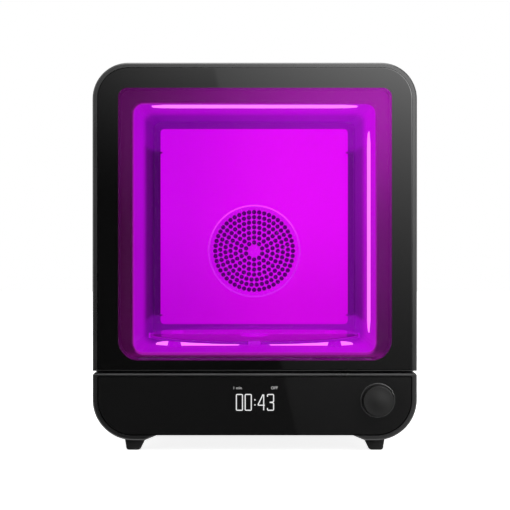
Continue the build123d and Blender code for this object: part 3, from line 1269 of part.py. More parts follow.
with BuildPart() as exhaust_fan_frame:
    with BuildSketch(depth_plane(REAR_PANEL_FRONT - EXHAUST_DEPTH)):
        with Locations((EXHAUST_X, EXHAUST_Z)):
            Rectangle(EXHAUST_SIZE, EXHAUST_SIZE)
            round_hole(EXHAUST_SIZE / 2 - EXHAUST_WALL)
    extrude(amount=-EXHAUST_DEPTH)
    # struts and the motor cup towards the rear panel
    with BuildSketch(depth_plane(REAR_PANEL_FRONT - EXHAUST_STRUT)):
        with Locations((EXHAUST_X, EXHAUST_Z)):
            Rectangle(EXHAUST_SIZE - EXHAUST_WALL, EXHAUST_STRUT)
            Rectangle(EXHAUST_STRUT, EXHAUST_SIZE - EXHAUST_WALL)
            RegularPolygon(EXHAUST_HUB, ROUND_SIDES)
    extrude(amount=-EXHAUST_STRUT)
    with BuildSketch(depth_plane(REAR_PANEL_FRONT - EXHAUST_DEPTH + EXHAUST_PIN_DROP)):
        with Locations((EXHAUST_X, EXHAUST_Z)):
            RegularPolygon(FAN_SHAFT_RADIUS, SMALL_SIDES)
    extrude(amount=-(EXHAUST_DEPTH - EXHAUST_PIN_DROP - EXHAUST_STRUT))
finish(exhaust_fan_frame, "exhaust_fan_frame")

with BuildPart() as exhaust_fan_rotor:
    with BuildSketch(depth_plane(EXHAUST_ROTOR_FRONT)):
        with Locations((EXHAUST_X, EXHAUST_Z)):
            RegularPolygon(EXHAUST_HUB, ROUND_SIDES)
    extrude(amount=-EXHAUST_ROTOR)
    with Locations(depth_plane(EXHAUST_ROTOR_FRONT + EXHAUST_ROTOR / 2)):
        with Locations((EXHAUST_X, EXHAUST_Z)):
            with PolarLocations((EXHAUST_TIP + EXHAUST_HUB - EXHAUST_ROOT) / 2, EXHAUST_BLADES):
                Box(
                    EXHAUST_TIP - EXHAUST_HUB + EXHAUST_ROOT, EXHAUST_CHORD, BLADE,
                    rotation=(EXHAUST_PITCH, 0, 0),
                )
    with BuildSketch(depth_plane(EXHAUST_ROTOR_FRONT + EXHAUST_WALL)):
        with Locations((EXHAUST_X, EXHAUST_Z)):
            RegularPolygon(FAN_SHAFT_RADIUS + RUN_GAP, SMALL_SIDES, major_radius=False)
    extrude(amount=-EXHAUST_ROTOR, mode=Mode.SUBTRACT)
finish(exhaust_fan_rotor, "exhaust_fan_rotor")

with BuildPart() as power_inlet:
    with BuildSketch(depth_plane(REAR_PANEL_FRONT + REAR_PANEL - INLET_LENGTH)):
        with Locations((INLET_X, SOCKET_Z)):
            Rectangle(*INLET_SIZE)
    extrude(amount=-INLET_LENGTH)
    with BuildSketch(depth_plane(REAR_PANEL_FRONT + REAR_PANEL)):
        with Locations((INLET_X, SOCKET_Z)):
            Rectangle(INLET_SIZE[0] + 2 * INLET_FLANGE, INLET_SIZE[1] + 2 * INLET_FLANGE)
    extrude(amount=-FLANGE_PROUD)
    # recess for the plug, with two corners cut off
    plug_side = INLET_SIZE[0] / 2 - INLET_WALL
    plug_top = SOCKET_Z + INLET_SIZE[1] / 2 - INLET_WALL
    with BuildSketch(depth_plane(REAR_PANEL_FRONT + REAR_PANEL + FLANGE_PROUD)):
        with BuildLine():
            Polyline(
                (INLET_X - plug_side, 2 * SOCKET_Z - plug_top),
                (INLET_X + plug_side, 2 * SOCKET_Z - plug_top),
                (INLET_X + plug_side, plug_top - PLUG_CORNER),
                (INLET_X + plug_side - PLUG_CORNER, plug_top),
                (INLET_X - plug_side + PLUG_CORNER, plug_top),
                (INLET_X - plug_side, plug_top - PLUG_CORNER),
                close=True,
            )
        make_face()
    extrude(amount=INLET_LENGTH - INLET_WALL, mode=Mode.SUBTRACT)
    with BuildSketch(depth_plane(REAR_PANEL_FRONT + REAR_PANEL - INLET_LENGTH + INLET_WALL)):
        with Locations((INLET_X, SOCKET_Z)):
            with Locations(*PLUG_PINS):
                Rectangle(*PLUG_PIN)
    extrude(amount=-PLUG_PIN_LENGTH)
finish(power_inlet, "power_inlet")

with BuildPart() as switch_housing:
    with BuildSketch(depth_plane(REAR_PANEL_FRONT + REAR_PANEL - SWITCH_LENGTH)):
        with Locations((SWITCH_X, SOCKET_Z)):
            Rectangle(*SWITCH_SIZE)
    extrude(amount=-SWITCH_LENGTH)
    with BuildSketch(depth_plane(REAR_PANEL_FRONT + REAR_PANEL)):
        with Locations((SWITCH_X, SOCKET_Z)):
            Rectangle(SWITCH_SIZE[0] + 2 * SWITCH_BORDER, SWITCH_SIZE[1] + 2 * SWITCH_BORDER)
    extrude(amount=-SWITCH_FLANGE)
    with BuildSketch(depth_plane(REAR_PANEL_FRONT + REAR_PANEL + SWITCH_FLANGE)):
        with Locations((SWITCH_X, SOCKET_Z)):
            Rectangle(ROCKER_WIDTH + 2 * ROCKER_GAP, ROCKER_HEIGHT + 2 * ROCKER_GAP)
    extrude(amount=SWITCH_LENGTH + SWITCH_FLANGE - SWITCH_FLOOR, mode=Mode.SUBTRACT)
    with BuildSketch(Plane.YZ.offset(SWITCH_X - ROCKER_WIDTH / 2 - TRUNNION)):
        with Locations((FRONT_Y + SWITCH_PIVOT_DEPTH, SOCKET_Z)):
            RegularPolygon(TRUNNION_RADIUS + RUN_GAP, SMALL_SIDES, major_radius=False)
    extrude(amount=ROCKER_WIDTH + 2 * TRUNNION, mode=Mode.SUBTRACT)
finish(switch_housing, "switch_housing")

with BuildPart() as switch_rocker:
    # side view of the rocker, tilted to the position that is switched on
    rocker_plane = Plane(
        (SWITCH_X - ROCKER_WIDTH / 2, FRONT_Y + SWITCH_PIVOT_DEPTH, SOCKET_Z),
        (0, cos(radians(ROCKER_TILT)), sin(radians(ROCKER_TILT))), (1, 0, 0),
    )
    with BuildSketch(rocker_plane):
        with BuildLine():
            Polyline(
                (ROCKER_FACE, -ROCKER_HEIGHT / 2), (ROCKER_FACE - ROCKER_DIP, 0.0),
                (ROCKER_FACE, ROCKER_HEIGHT / 2),
                (TRUNNION - ROCKER_BACK, ROCKER_HEIGHT / 2 - ROCKER_TAPER),
                (-ROCKER_BACK, TRUNNION), (-ROCKER_BACK, -TRUNNION),
                (TRUNNION - ROCKER_BACK, ROCKER_TAPER - ROCKER_HEIGHT / 2),
                close=True,
            )
        make_face()
    extrude(amount=ROCKER_WIDTH)
    with BuildSketch(Plane.YZ.offset(SWITCH_X - ROCKER_WIDTH / 2 - TRUNNION + SEAT_GAP)):
        with Locations((FRONT_Y + SWITCH_PIVOT_DEPTH, SOCKET_Z)):
            RegularPolygon(TRUNNION_RADIUS, SMALL_SIDES)
    extrude(amount=ROCKER_WIDTH + 2 * TRUNNION - 2 * SEAT_GAP)
finish(switch_rocker, "switch_rocker")

# ---------------------------------------------------------------- feet
for side_name, side in (("left", -1), ("right", 1)):
    for end_name, foot_depth in FOOT_DEPTHS.items():
        with BuildPart() as foot:
            # front view: upright outer side, slanted inner side, softened sole
            with BuildSketch(depth_plane(foot_depth)):
                with BuildLine():
                    Polyline(
                        (side * FOOT_TOP_SPAN[0], SKID_LOW + FOOT_CAP),
                        (side * FOOT_TOP_SPAN[0], SKID_LOW),
                        (side * (FOOT_SOLE_SPAN[0] - FOOT_SOFT), FOOT_SOFT),
                        (side * FOOT_SOLE_SPAN[0], 0.0),
                        (side * FOOT_SOLE_SPAN[1], 0.0),
                        (side * (FOOT_SOLE_SPAN[1] + FOOT_SOFT / 2), FOOT_SOFT),
                        (side * FOOT_TOP_SPAN[1], SKID_LOW + FOOT_CAP),
                        close=True,
                    )
                make_face()
            extrude(amount=-FOOT_LENGTH)
            chamfer(foot.faces().sort_by(Axis.Z)[0].edges().filter_by(Axis.X), length=FOOT_SOFT)
            with BuildSketch(depth_plane(0.0)):
                casing_outline(-PRESS_GAP)
            extrude(amount=-BODY_DEPTH, mode=Mode.SUBTRACT)
        finish(foot, f"foot_{end_name}_{side_name}")
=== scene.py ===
"""Looks of a desktop resin curing station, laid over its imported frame.

Everything is in metres, in the frame's own axes: +X right, +Y to the rear, +Z up.
"""

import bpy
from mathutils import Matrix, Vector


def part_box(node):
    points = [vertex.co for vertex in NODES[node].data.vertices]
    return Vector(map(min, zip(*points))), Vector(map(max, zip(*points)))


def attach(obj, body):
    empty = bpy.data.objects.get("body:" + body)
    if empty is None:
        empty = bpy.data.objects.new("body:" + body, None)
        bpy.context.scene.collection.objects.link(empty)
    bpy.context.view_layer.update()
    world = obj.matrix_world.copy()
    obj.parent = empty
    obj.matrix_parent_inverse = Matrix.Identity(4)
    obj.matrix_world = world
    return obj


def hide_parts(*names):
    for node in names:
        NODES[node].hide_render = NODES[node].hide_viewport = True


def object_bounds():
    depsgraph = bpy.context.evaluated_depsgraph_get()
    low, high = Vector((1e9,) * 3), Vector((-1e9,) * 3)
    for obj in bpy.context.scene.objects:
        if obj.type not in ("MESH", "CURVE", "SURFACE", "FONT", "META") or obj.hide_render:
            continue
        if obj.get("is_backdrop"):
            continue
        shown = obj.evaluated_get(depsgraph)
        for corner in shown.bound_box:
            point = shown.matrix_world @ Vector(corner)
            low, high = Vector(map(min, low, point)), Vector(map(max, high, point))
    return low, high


bl_info = {
    "name": "Curing Station Looks",
    "version": (1, 0, 0),
    "blender": (4, 5, 0),
    "location": "3D Viewport > Sidebar > Station",
    "description": "Finishes and detailed pieces for a desktop curing station",
    "category": "Object",
}

from math import cos, hypot, pi, radians, sin

import bmesh
import bpy
from bpy.props import FloatProperty, FloatVectorProperty, IntProperty, PointerProperty, StringProperty
from mathutils import Vector

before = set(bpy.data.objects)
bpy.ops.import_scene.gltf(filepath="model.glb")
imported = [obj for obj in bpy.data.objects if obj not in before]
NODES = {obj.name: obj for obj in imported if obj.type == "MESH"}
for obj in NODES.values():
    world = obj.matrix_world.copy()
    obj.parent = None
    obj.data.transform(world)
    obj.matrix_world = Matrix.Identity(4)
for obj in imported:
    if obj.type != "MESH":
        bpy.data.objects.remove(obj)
CAD_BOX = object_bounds()
MM = 0.001
UP = Vector((0, 0, 1))
REAR = Vector((0, 1, 0))
DARK = (0.0, 0.0, 0.0)
WHITE = (1.0, 1.0, 1.0)
DUST = (0.32, 0.31, 0.3)


def centre_of(box):
    """Middle of a box given by its two corners."""
    return (box[0] + box[1]) / 2


def half_width(box):
    """Half of a box's width, which is the radius of a round piece."""
    return (box[1].x - box[0].x) / 2


# ---------------------------------------------------------------- places taken from the frame
GLASS_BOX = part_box("door_glass")
PANEL_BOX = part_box("control_glass")
PANE_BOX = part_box("door_inner_pane")
KNOB_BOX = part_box("knob")
RING_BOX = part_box("knob_ring")
GRILLE_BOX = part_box("fan_grille")
TABLE_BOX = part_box("turntable_glass")
HUB_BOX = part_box("turntable_hub")
LINER_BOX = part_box("chamber_liner")
REFLECTOR_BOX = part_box("back_reflector")
FRAME_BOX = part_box("front_frame")
PLENUM_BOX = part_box("fan_plenum")
DOOR_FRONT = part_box("door_frame")[0].y
BODY_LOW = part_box("lower_bezel")[0].z

# the chamber's mouth, which is the liner's box drawn in by its edge
LINER_EDGE = 5.0 * MM
MOUTH_HALF = LINER_BOX[1].x - LINER_EDGE
MOUTH_TOP = LINER_BOX[1].z - LINER_EDGE
MOUTH_LOW = LINER_BOX[0].z + LINER_EDGE
MOUTH_ROUND = 9.0 * MM

# the clear window in the door's glass
WINDOW_BOX = (
    PANE_BOX[0] + Vector((2.95, 0.0, 1.75)) * MM,
    PANE_BOX[1] - Vector((2.55, 0.0, 3.84)) * MM,
)
WINDOW_ROUND = 7.8 * MM
WINDOW_LOW_ROUND = 17.8 * MM

# radius of the hole for the turntable's shaft and the knob's stem, and the radius that stands for none
SHAFT_HOLE = 3.01 * MM
ON_AXIS = 0.02 * MM

# where the painted light on the walls changes: depths, heights, and gaps from the roof and the floor
WALL_DIMS = (LINER_BOX[0].y + 73.0 * MM, LINER_BOX[0].y + 143.0 * MM)
WALL_CLIMB = (150.0 * MM, 280.0 * MM)
REAR_CLIMB = (110.0 * MM, 260.0 * MM)
ROOF_PALE = (28.0 * MM, 34.0 * MM)
FLOOR_PALE = (18.0 * MM, 24.0 * MM)
# heights over which the painted light on the front frame changes
FRAME_START = (71.0 * MM, 74.5 * MM)
FRAME_SILL = (76.0 * MM, 86.0 * MM)
FRAME_CLIMB = (90.0 * MM, 180.0 * MM)
FRAME_TOP = (170.0 * MM, 310.0 * MM)

# ---------------------------------------------------------------- seen from the front
EYE_ASIDE = -0.0034
EYE_DISTANCE = 1.256
EYE_HEIGHT = 0.1946
LENS_MM = 102.8
SHIFT_X = 0.0082
SHIFT_Y = -0.0558


# ---------------------------------------------------------------- sizes and colours a user may change
def length(name, description, default):
    """Property for a length, in metres."""
    return FloatProperty(name=name, description=description, default=default, unit="LENGTH", precision=4)


def colour(name, description, default):
    """Property for a colour."""
    return FloatVectorProperty(name=name, description=description, default=default, subtype="COLOR")


class StationSizes(bpy.types.PropertyGroup):
    hole_radius: length("Grille hole", "Radius of a hole in the fan grille", 2.3 * MM)
    ring_first: length("First ring", "Radius of the innermost ring of holes", 8.7 * MM)
    ring_pitch: length("Ring pitch", "Distance between two rings of holes", 5.2 * MM)
    digit_height: length("Digit height", "Height of the digits of the timer", 14.5 * MM)
    digit_stroke: length("Digit stroke", "Width of the strokes of the digits", 0.88 * MM)
    round_steps: IntProperty(
        name="Round steps", description="Segments round a turned piece", default=96, min=24,
    )
    timer_text: StringProperty(
        name="Timer", description="Four digits that the timer shows", default="0043",
    )


class StationColours(bpy.types.PropertyGroup):
    rim: colour("Rim", "Moulded rim of the door and the lower bezel", (0.005, 0.005, 0.0052))
    casing: colour("Casing", "Powder coat of the casing", (0.022, 0.022, 0.023))
    knob: colour("Knob", "Satin plastic of the knob", (0.011, 0.011, 0.0108))
    lens: colour("Lens", "Light given off by the lenses", (0.9, 0.2, 0.9))
    tint: colour("Door tint", "Tint of the door's glass", (0.96, 0.9, 0.97))
    digits: colour("Digits", "Colour of the lit digits", (0.82, 0.82, 0.82))


def sizes():
    return bpy.context.scene.station_sizes


def chosen(name):
    """Colour that the user has set."""
    return tuple(getattr(bpy.context.scene.station_colours, name))


# ---------------------------------------------------------------- objects and meshes
def added(name, data):
    """New object in the scene."""
    item = bpy.data.objects.new(name, data)
    bpy.context.scene.collection.objects.link(item)
    return item


def place_mesh(name, mesh, body, finish, sharp=35.0, stands_for=()):
    """Object for a finished mesh, riding on a body and standing for CAD nodes."""
    mesh.shade_smooth()
    mesh.set_sharp_from_angle(angle=radians(sharp))
    mesh.materials.clear()
    mesh.materials.append(finish_for(finish))
    piece = added(name, mesh)
    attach(piece, body)
    if stands_for:
        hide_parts(*stands_for)


def make_piece(name, form, body, finish, sharp=35.0, stands_for=()):
    """Mesh object from a form, which is a pair of points and faces."""
    verts, faces = form
    mesh = bpy.data.meshes.new(name)
    mesh.from_pydata([tuple(v) for v in verts], [], faces)
    shape = bmesh.new()
    shape.from_mesh(mesh)
    bmesh.ops.remove_doubles(shape, verts=shape.verts, dist=1e-6)
    bmesh.ops.recalc_face_normals(shape, faces=shape.faces)
    shape.to_mesh(mesh)
    shape.free()
    place_mesh(name, mesh, body, finish, sharp, stands_for)


def mesh_of(drawing, place):
    """Mesh of a flat drawing that is stood upright at a place."""
    holder = added(drawing.name + "_draft", drawing)
    holder.rotation_euler = (pi / 2, 0.0, 0.0)
    holder.location = place
    bpy.context.view_layer.update()
    mesh = bpy.data.meshes.new_from_object(holder)
    mesh.transform(holder.matrix_world)
    bpy.data.objects.remove(holder)
    return mesh


def points_of(node):
    """Points of a CAD node."""
    return [vertex.co for vertex in NODES[node].data.vertices]


def box_round(points):
    """Two corners of the box round some points."""
    return [Vector(pick(p[axis] for p in points) for axis in range(3)) for pick in (min, max)]


def faces_between(levels, count, closed):
    """Faces between rings of points, each joined to the next, and the last to the first if closed."""
    faces = []
    for level in range(levels if closed else levels - 1):
        here, there = level * count, (level + 1) % levels * count
        for step in range(count):
            after = (step + 1) % count
            faces.append((here + step, here + after, there + after, there + step))
    return faces


def turned(profile, centre, axis, steps):
    """Form of a profile turned round an axis; profile is (radius, place along the axis)."""
    across = Vector((1, 0, 0)) if abs(axis.x) < 0.5 else UP
    other = axis.cross(across)
    start = centre - axis * centre.dot(axis)
    verts = []
    for radius, along in profile:
        for step in range(steps):
            angle = 2 * pi * step / steps
            spoke = across * cos(angle) + other * sin(angle)
            verts.append(start + axis * along + spoke * radius)
    return verts, faces_between(len(profile), steps, True)


def looped(rings):
    """Form of a closed tube through rings of (x, z) points, each at its own depth."""
    verts = [(x, depth, z) for ring, depth in rings for x, z in ring]
    return verts, faces_between(len(rings), len(rings[0][0]), True)


def band(outer, inner, near, far):
    """Form of a flat band between two outlines and two depths."""
    return looped(((outer, near), (outer, far), (inner, far), (inner, near)))


def stacked(rings):
    """Form of rings of equal count, joined in order and closed at both ends."""
    count = len(rings[0])
    verts = [point for ring in rings for point in ring]
    ends = [tuple(range(count)), tuple(range(len(verts) - count, len(verts)))]
    return verts, faces_between(len(rings), count, False) + ends


def joined(forms):
    """Several forms as one."""
    verts, faces = [], []
    for points, polygons in forms:
        start = len(verts)
        verts += points
        faces += [tuple(start + index for index in face) for face in polygons]
    return verts, faces


def rounded_profile(*corners, steps=6):
    """Closed profile through corners of two coordinates and a rounding each."""
    points = []
    for index, (*place, radius) in enumerate(corners):
        here = Vector(place)
        if not radius:
            points.append(tuple(here))
            continue
        back = (Vector(corners[index - 1][:2]) - here).normalized()
        ahead = (Vector(corners[(index + 1) % len(corners)][:2]) - here).normalized()
        for step in range(steps + 1):
            share = step / steps
            points.append(tuple(here + back * radius * (1 - share) ** 2 + ahead * radius * share ** 2))
    return points


def ring_profile(inner, outer, near, far, inner_near=0, outer_near=0, outer_far=0):
    """Profile of a flat ring with its roundings."""
    return rounded_profile(
        (inner, near, inner_near), (outer, near, outer_near), (outer, far, outer_far), (inner, far, 0),
    )


def rounded_ring(low, high, corner, steps=6, low_corner=None):
    """Closed outline of a rectangle with round corners, in two coordinates."""
    corner = max(corner, 1e-5)
    base = corner if low_corner is None else max(low_corner, 1e-5)
    middles = [
        (high[0] - corner, high[1] - corner, corner), (low[0] + corner, high[1] - corner, corner),
        (low[0] + base, low[1] + base, base), (high[0] - base, low[1] + base, base),
    ]
    points = []
    for quarter, (x, y, radius) in enumerate(middles):
        for step in range(steps + 1):
            angle = pi / 2 * (quarter + step / steps)
            points.append((x + radius * cos(angle), y + radius * sin(angle)))
    return points


def front_ring(box, inset, corner, low_corner):
    """Outline of a box seen from the front, drawn in by the inset, with round corners."""
    low, high = box
    return rounded_ring(
        (low.x + inset, low.z + inset), (high.x - inset, high.z - inset), corner, 14, low_corner,
    )


def window_outline(inset):
    """Outline of the door's clear window, drawn in by the inset."""
    return front_ring(WINDOW_BOX, inset, WINDOW_ROUND - inset, WINDOW_LOW_ROUND - inset)


# ---------------------------------------------------------------- nodes
def feed(value, socket):
    """Give an input its value: another node's output, a colour or a plain value."""
    if isinstance(value, bpy.types.NodeSocket):
        socket.id_data.links.new(value, socket)
    elif socket.type == "RGBA":
        socket.default_value = (*value, 1.0)
    else:
        socket.default_value = value


def fill(node, **values):
    """Feed a node's inputs by name."""
    for label, value in values.items():
        feed(value, node.inputs[label.replace("_", " ")])


def node_on(holder, kind, output, **values):
    """Output of a new node in the holder's tree, with its inputs filled."""
    node = holder.id_data.nodes.new("ShaderNode" + kind)
    fill(node, **values)
    return node.outputs[output]


def maths(operation, first, second=0.0, kind="Math", output=0):
    """Result of a maths node, of which at least one input comes from another node."""
    source = first if isinstance(first, bpy.types.NodeSocket) else second
    node = source.id_data.nodes.new("ShaderNode" + kind)
    node.operation = operation
    feed(first, node.inputs[0])
    feed(second, node.inputs[1])
    return node.outputs[output]


def mixed(factor, first, second, kind="RGBA"):
    """Colour between two colours, or a number between two numbers."""
    mix = factor.id_data.nodes.new("ShaderNodeMix")
    mix.data_type = kind
    fill(mix, Factor=factor, A=first, B=second)
    return mix.outputs["Result"]


def ramp(source, span, first, second):
    """Colour that runs smoothly from one to another as a value crosses a span."""
    reach = source.id_data.nodes.new("ShaderNodeMapRange")
    reach.interpolation_type = "SMOOTHSTEP"
    fill(reach, Value=source, From_Min=span[0], From_Max=span[1])
    return mixed(reach.outputs["Result"], first, second)


def place_in(holder):
    """X, Y and Z of the object's own coordinates."""
    split = holder.id_data.nodes.new("ShaderNodeSeparateXYZ")
    fill(split, Vector=node_on(holder, "TexCoord", "Object"))
    return split.outputs


def facing_in(holder, centre):
    """Above zero on faces that look towards the centre, below zero on faces that look away."""
    place = holder.id_data.nodes.new("ShaderNodeTexCoord").outputs
    toward = maths("SUBTRACT", centre, place["Object"], "VectorMath")
    return maths("DOT_PRODUCT", toward, place["Normal"], "VectorMath", "Value")


def beyond_mouth(x, z):
    """How far a place lies outside the chamber's mouth, with a wider line along its lower edge; it places
    the painted spill light on the frame.
    """
    aside = maths("SUBTRACT", maths("ABSOLUTE", x), MOUTH_HALF - MOUTH_ROUND)
    above = maths("SUBTRACT", z, MOUTH_TOP - MOUTH_ROUND)
    below = maths("SUBTRACT", MOUTH_LOW + MOUTH_ROUND, z)
    gaps = (aside, maths("MAXIMUM", above, below))
    squares = [maths("POWER", maths("MAXIMUM", gap), 2.0) for gap in gaps]
    reach = maths("SQRT", maths("ADD", *squares))
    reach = maths("SUBTRACT", reach, MOUTH_ROUND)
    nudge = ramp(z, (MOUTH_LOW, MOUTH_LOW + 4.0 * MM), (0.9 * MM,) * 3, DARK)
    return maths("SUBTRACT", reach, nudge)


# ---------------------------------------------------------------- shader groups
def new_group(name, output, detail, **inputs):
    """Shader group round one noise, with float inputs, one of them its Scale, and a float output."""
    group = bpy.data.node_groups.new(name, "ShaderNodeTree")
    for label, default in inputs.items():
        socket = group.interface.new_socket(label, in_out="INPUT", socket_type="NodeSocketFloat")
        socket.default_value = default
    group.interface.new_socket(output, in_out="OUTPUT", socket_type="NodeSocketFloat")
    given = group.nodes.new("NodeGroupInput").outputs
    result = group.nodes.new("NodeGroupOutput").inputs[output]
    place = node_on(group, "TexCoord", "Object")
    noise = node_on(group, "TexNoise", "Fac", Detail=detail, Vector=place, Scale=given["Scale"])
    return group, given, result, noise


def build_grain():
    """Fine grain of moulded or coated surfaces, for a tone and for a bump's height."""
    group, _, result, noise = new_group("Fine Grain", "Grain", 4.0, Scale=900.0)
    feed(noise, result)
    return group


def build_smudges():
    """Slow change of roughness, as hands and cloths leave it."""
    group, given, result, noise = new_group("Smudges", "Roughness", 6.0, Scale=14.0, Low=0.3, High=0.4)
    feed(node_on(
        group, "MapRange", "Result", Value=noise, From_Min=0.35, From_Max=0.65,
        To_Min=given["Low"], To_Max=given["High"],
    ), result)
    return group


def build_dust():
    """Mask of settled dust, on faces that look up."""
    group, given, result, noise = new_group("Settled Dust", "Mask", 8.0, Scale=60.0, Amount=0.1)
    facing = node_on(group, "NewGeometry", "Normal")
    upward = maths("MAXIMUM", node_on(group, "SeparateXYZ", "Z", Vector=facing))
    speckle = maths("MULTIPLY", noise, upward)
    feed(maths("MULTIPLY", speckle, given["Amount"]), result)
    return group


GROUP_BUILDERS = {"Fine Grain": build_grain, "Smudges": build_smudges, "Settled Dust": build_dust}


def group_in(holder, name, **values):
    """Output of one of the shared groups, placed in a material with its own values."""
    node = holder.id_data.nodes.new("ShaderNodeGroup")
    node.node_tree = bpy.data.node_groups.get(name) or GROUP_BUILDERS[name]()
    fill(node, **values)
    return node.outputs[0]


# ---------------------------------------------------------------- parts of a material
def blank(name, base, roughness, **sockets):
    """Material with one Principled shader; extra sockets are set by name."""
    material = bpy.data.materials.new(name)
    material.use_nodes = True
    shader = material.node_tree.nodes["Principled BSDF"]
    fill(shader, Base_Color=base, Roughness=roughness, **sockets)
    return material, shader


def shade(base, factor):
    """A colour made darker or lighter."""
    return tuple(channel * factor for channel in base)


def toned(shader, factor, base, low, high):
    """Base colour that moves between two shades of a colour."""
    tone = mixed(factor, shade(base, low), shade(base, high))
    fill(shader, Base_Color=tone)
    return tone


def smudged(shader, scale, low, high):
    """Roughness that changes slowly between two values."""
    fill(shader, Roughness=group_in(shader, "Smudges", Scale=scale, Low=low, High=high))


def bump_from(shader, height, distance):
    """Bump that follows a height."""
    bump = node_on(shader, "Bump", "Normal", Strength=1.0, Distance=distance, Height=height)
    fill(shader, Normal=bump)


def grained(shader, scale, depth):
    """Bump of fine grain; gives back the grain for a tone that follows it."""
    grain = group_in(shader, "Fine Grain", Scale=scale)
    bump_from(shader, grain, depth)
    return grain


def glowing(shader, glow, strength=1.0):
    """Light given off, in one colour or in a colour that changes over the surface."""
    fill(shader, Emission_Color=glow, Emission_Strength=strength)


# ---------------------------------------------------------------- materials
def moulded(name, base, low, high, grain=700.0, depth=0.02 * MM, dust=0.0, specular=0.5):
    """Moulded or coated surface: fine grain, smudged sheen, and dust where it looks up."""
    material, shader = blank(name, base, (low + high) / 2, Specular_IOR_Level=specular)
    smudged(shader, 16.0, low, high)
    tone = toned(shader, grained(shader, grain, depth), base, 0.86, 1.14)
    if dust:
        settled = group_in(shader, "Settled Dust", Scale=180.0, Amount=dust)
        fill(shader, Base_Color=mixed(settled, tone, DUST))
    return material


def metal(name, base, low, high, stretch):
    """Metal with fine lines drawn along one direction."""
    material, shader = blank(name, base, low, Metallic=1.0)
    place = node_on(shader, "TexCoord", "Object")
    squeezed = node_on(shader, "Mapping", "Vector", Vector=place, Scale=stretch)
    lines = node_on(shader, "TexNoise", "Fac", Vector=squeezed, Scale=260.0)
    smudged(shader, 30.0, low, high)
    toned(shader, lines, base, 0.8, 1.1)
    bump_from(shader, lines, 0.015 * MM)
    return material


def in_glow(name, base, glow):
    """Plain plastic or sheet inside the chamber, with the chamber's light painted on it as glow."""
    material, shader = blank(name, base, 0.45, Specular_IOR_Level=0.1)
    toned(shader, grained(shader, 800.0, 0.01 * MM), base, 0.85, 1.15)
    smudged(shader, 20.0, 0.4, 0.55)
    glowing(shader, glow)
    return material


def fan_painted_glow(name):
    """Dark sheet and plastic of the fan, with painted glow that is lighter near the side light and none
    on its rear face.
    """
    material = in_glow(name, (0.01, 0.0003, 0.014), DARK)
    shader = material.node_tree.nodes["Principled BSDF"]
    x, y, _ = place_in(shader)
    glow = ramp(x, (60.0 * MM, 80.0 * MM), (0.075, 0.0005, 0.13), (0.14, 0.001, 0.24))
    rear = PLENUM_BOX[1].y
    glow = ramp(y, (rear - 1.2 * MM, rear - 0.8 * MM), glow, DARK)
    glowing(shader, glow)
    return material


def lit_wall(name):
    """Coated sheet of the chamber's walls with the chamber's light painted on as glow, bright behind the
    mouth and dim towards the rear.
    """
    material, shader = blank(name, (0.05, 0.0005, 0.06), 0.5, Specular_IOR_Level=0.05)
    x, y, z = place_in(shader)

    def across(left, right):
        return ramp(x, (-MOUTH_HALF, MOUTH_HALF), left, right)

    side_gap = maths("SUBTRACT", MOUTH_HALF, maths("ABSOLUTE", x))
    top_gap = maths("SUBTRACT", MOUTH_TOP, z)
    low_gap = maths("SUBTRACT", z, MOUTH_LOW)
    # above zero on the side walls, below zero on the roof and the floor
    upright = maths("SUBTRACT", maths("MINIMUM", top_gap, low_gap), side_gap)
    # painted light behind the mouth: lighter to the right, changing with height, with its own tone on the
    # roof and the floor
    mouth_low = across((0.39, 0.001, 0.57), (0.48, 0.003, 0.64))
    mouth_high = across((0.43, 0.001, 0.65), (0.6, 0.001, 0.78))
    mouth_flat = across((0.4, 0.001, 0.58), (0.54, 0.002, 0.75))
    mouth = ramp(z, WALL_CLIMB, mouth_low, mouth_high)
    mouth = ramp(upright, (-6.0 * MM, 6.0 * MM), mouth_flat, mouth)
    # painted light towards the rear: dimmer, and paler near the roof and the floor
    rear_low = across((0.045, 0.001, 0.085), (0.1, 0.002, 0.175))
    rear_high = across((0.045, 0.001, 0.085), (0.165, 0.002, 0.28))
    rear_pale = across((0.15, 0.001, 0.27), (0.28, 0.003, 0.46))
    rear_flat = across((0.17, 0.001, 0.31), (0.31, 0.002, 0.505))
    rear = ramp(z, REAR_CLIMB, rear_low, rear_high)
    rear = ramp(top_gap, ROOF_PALE, rear_pale, rear)
    rear = ramp(low_gap, FLOOR_PALE, rear_pale, rear)
    rear = ramp(upright, (-3.0 * MM, 3.0 * MM), rear_flat, rear)
    glow = ramp(y, WALL_DIMS, mouth, rear)
    # no painted glow on faces that look away from the chamber
    glow = ramp(facing_in(shader, centre_of(LINER_BOX)), (0.0, 0.001), DARK, glow)
    glowing(shader, glow, 0.9)
    grained(shader, 500.0, 0.02 * MM)
    return material


def lit_panel(name, left, right, roughness, low_share=1.0):
    """Coated sheet with the chamber's light painted on as glow, brighter on one side than on the other
    and dimmer lower down.
    """
    material, shader = blank(name, (0.05, 0.0005, 0.06), roughness, Specular_IOR_Level=0.05)
    x, _, z = place_in(shader)
    span = (-REFLECTOR_BOX[1].x, REFLECTOR_BOX[1].x * 0.5)
    low = ramp(x, span, shade(left, low_share), shade(right, low_share))
    high = ramp(x, span, left, right)
    climb = (REFLECTOR_BOX[0].z, centre_of(REFLECTOR_BOX).z + 25.0 * MM)
    glowing(shader, ramp(z, climb, low, high), 0.9)
    grained(shader, 600.0, 0.01 * MM)
    return material


def lit_rim(name):
    """Rolled edge of the grille, with a painted highlight from the top lamp along its upper half."""
    material, shader = blank(name, (0.2, 0.01, 0.22), 0.3)
    middle = centre_of(GRILLE_BOX).z
    climb = (middle, middle + 40.0 * MM)
    glow = ramp(place_in(shader)["Z"], climb, (0.56, 0.002, 0.76), (0.86, 0.035, 0.95))
    glowing(shader, glow)
    grained(shader, 900.0, 0.005 * MM)
    return material


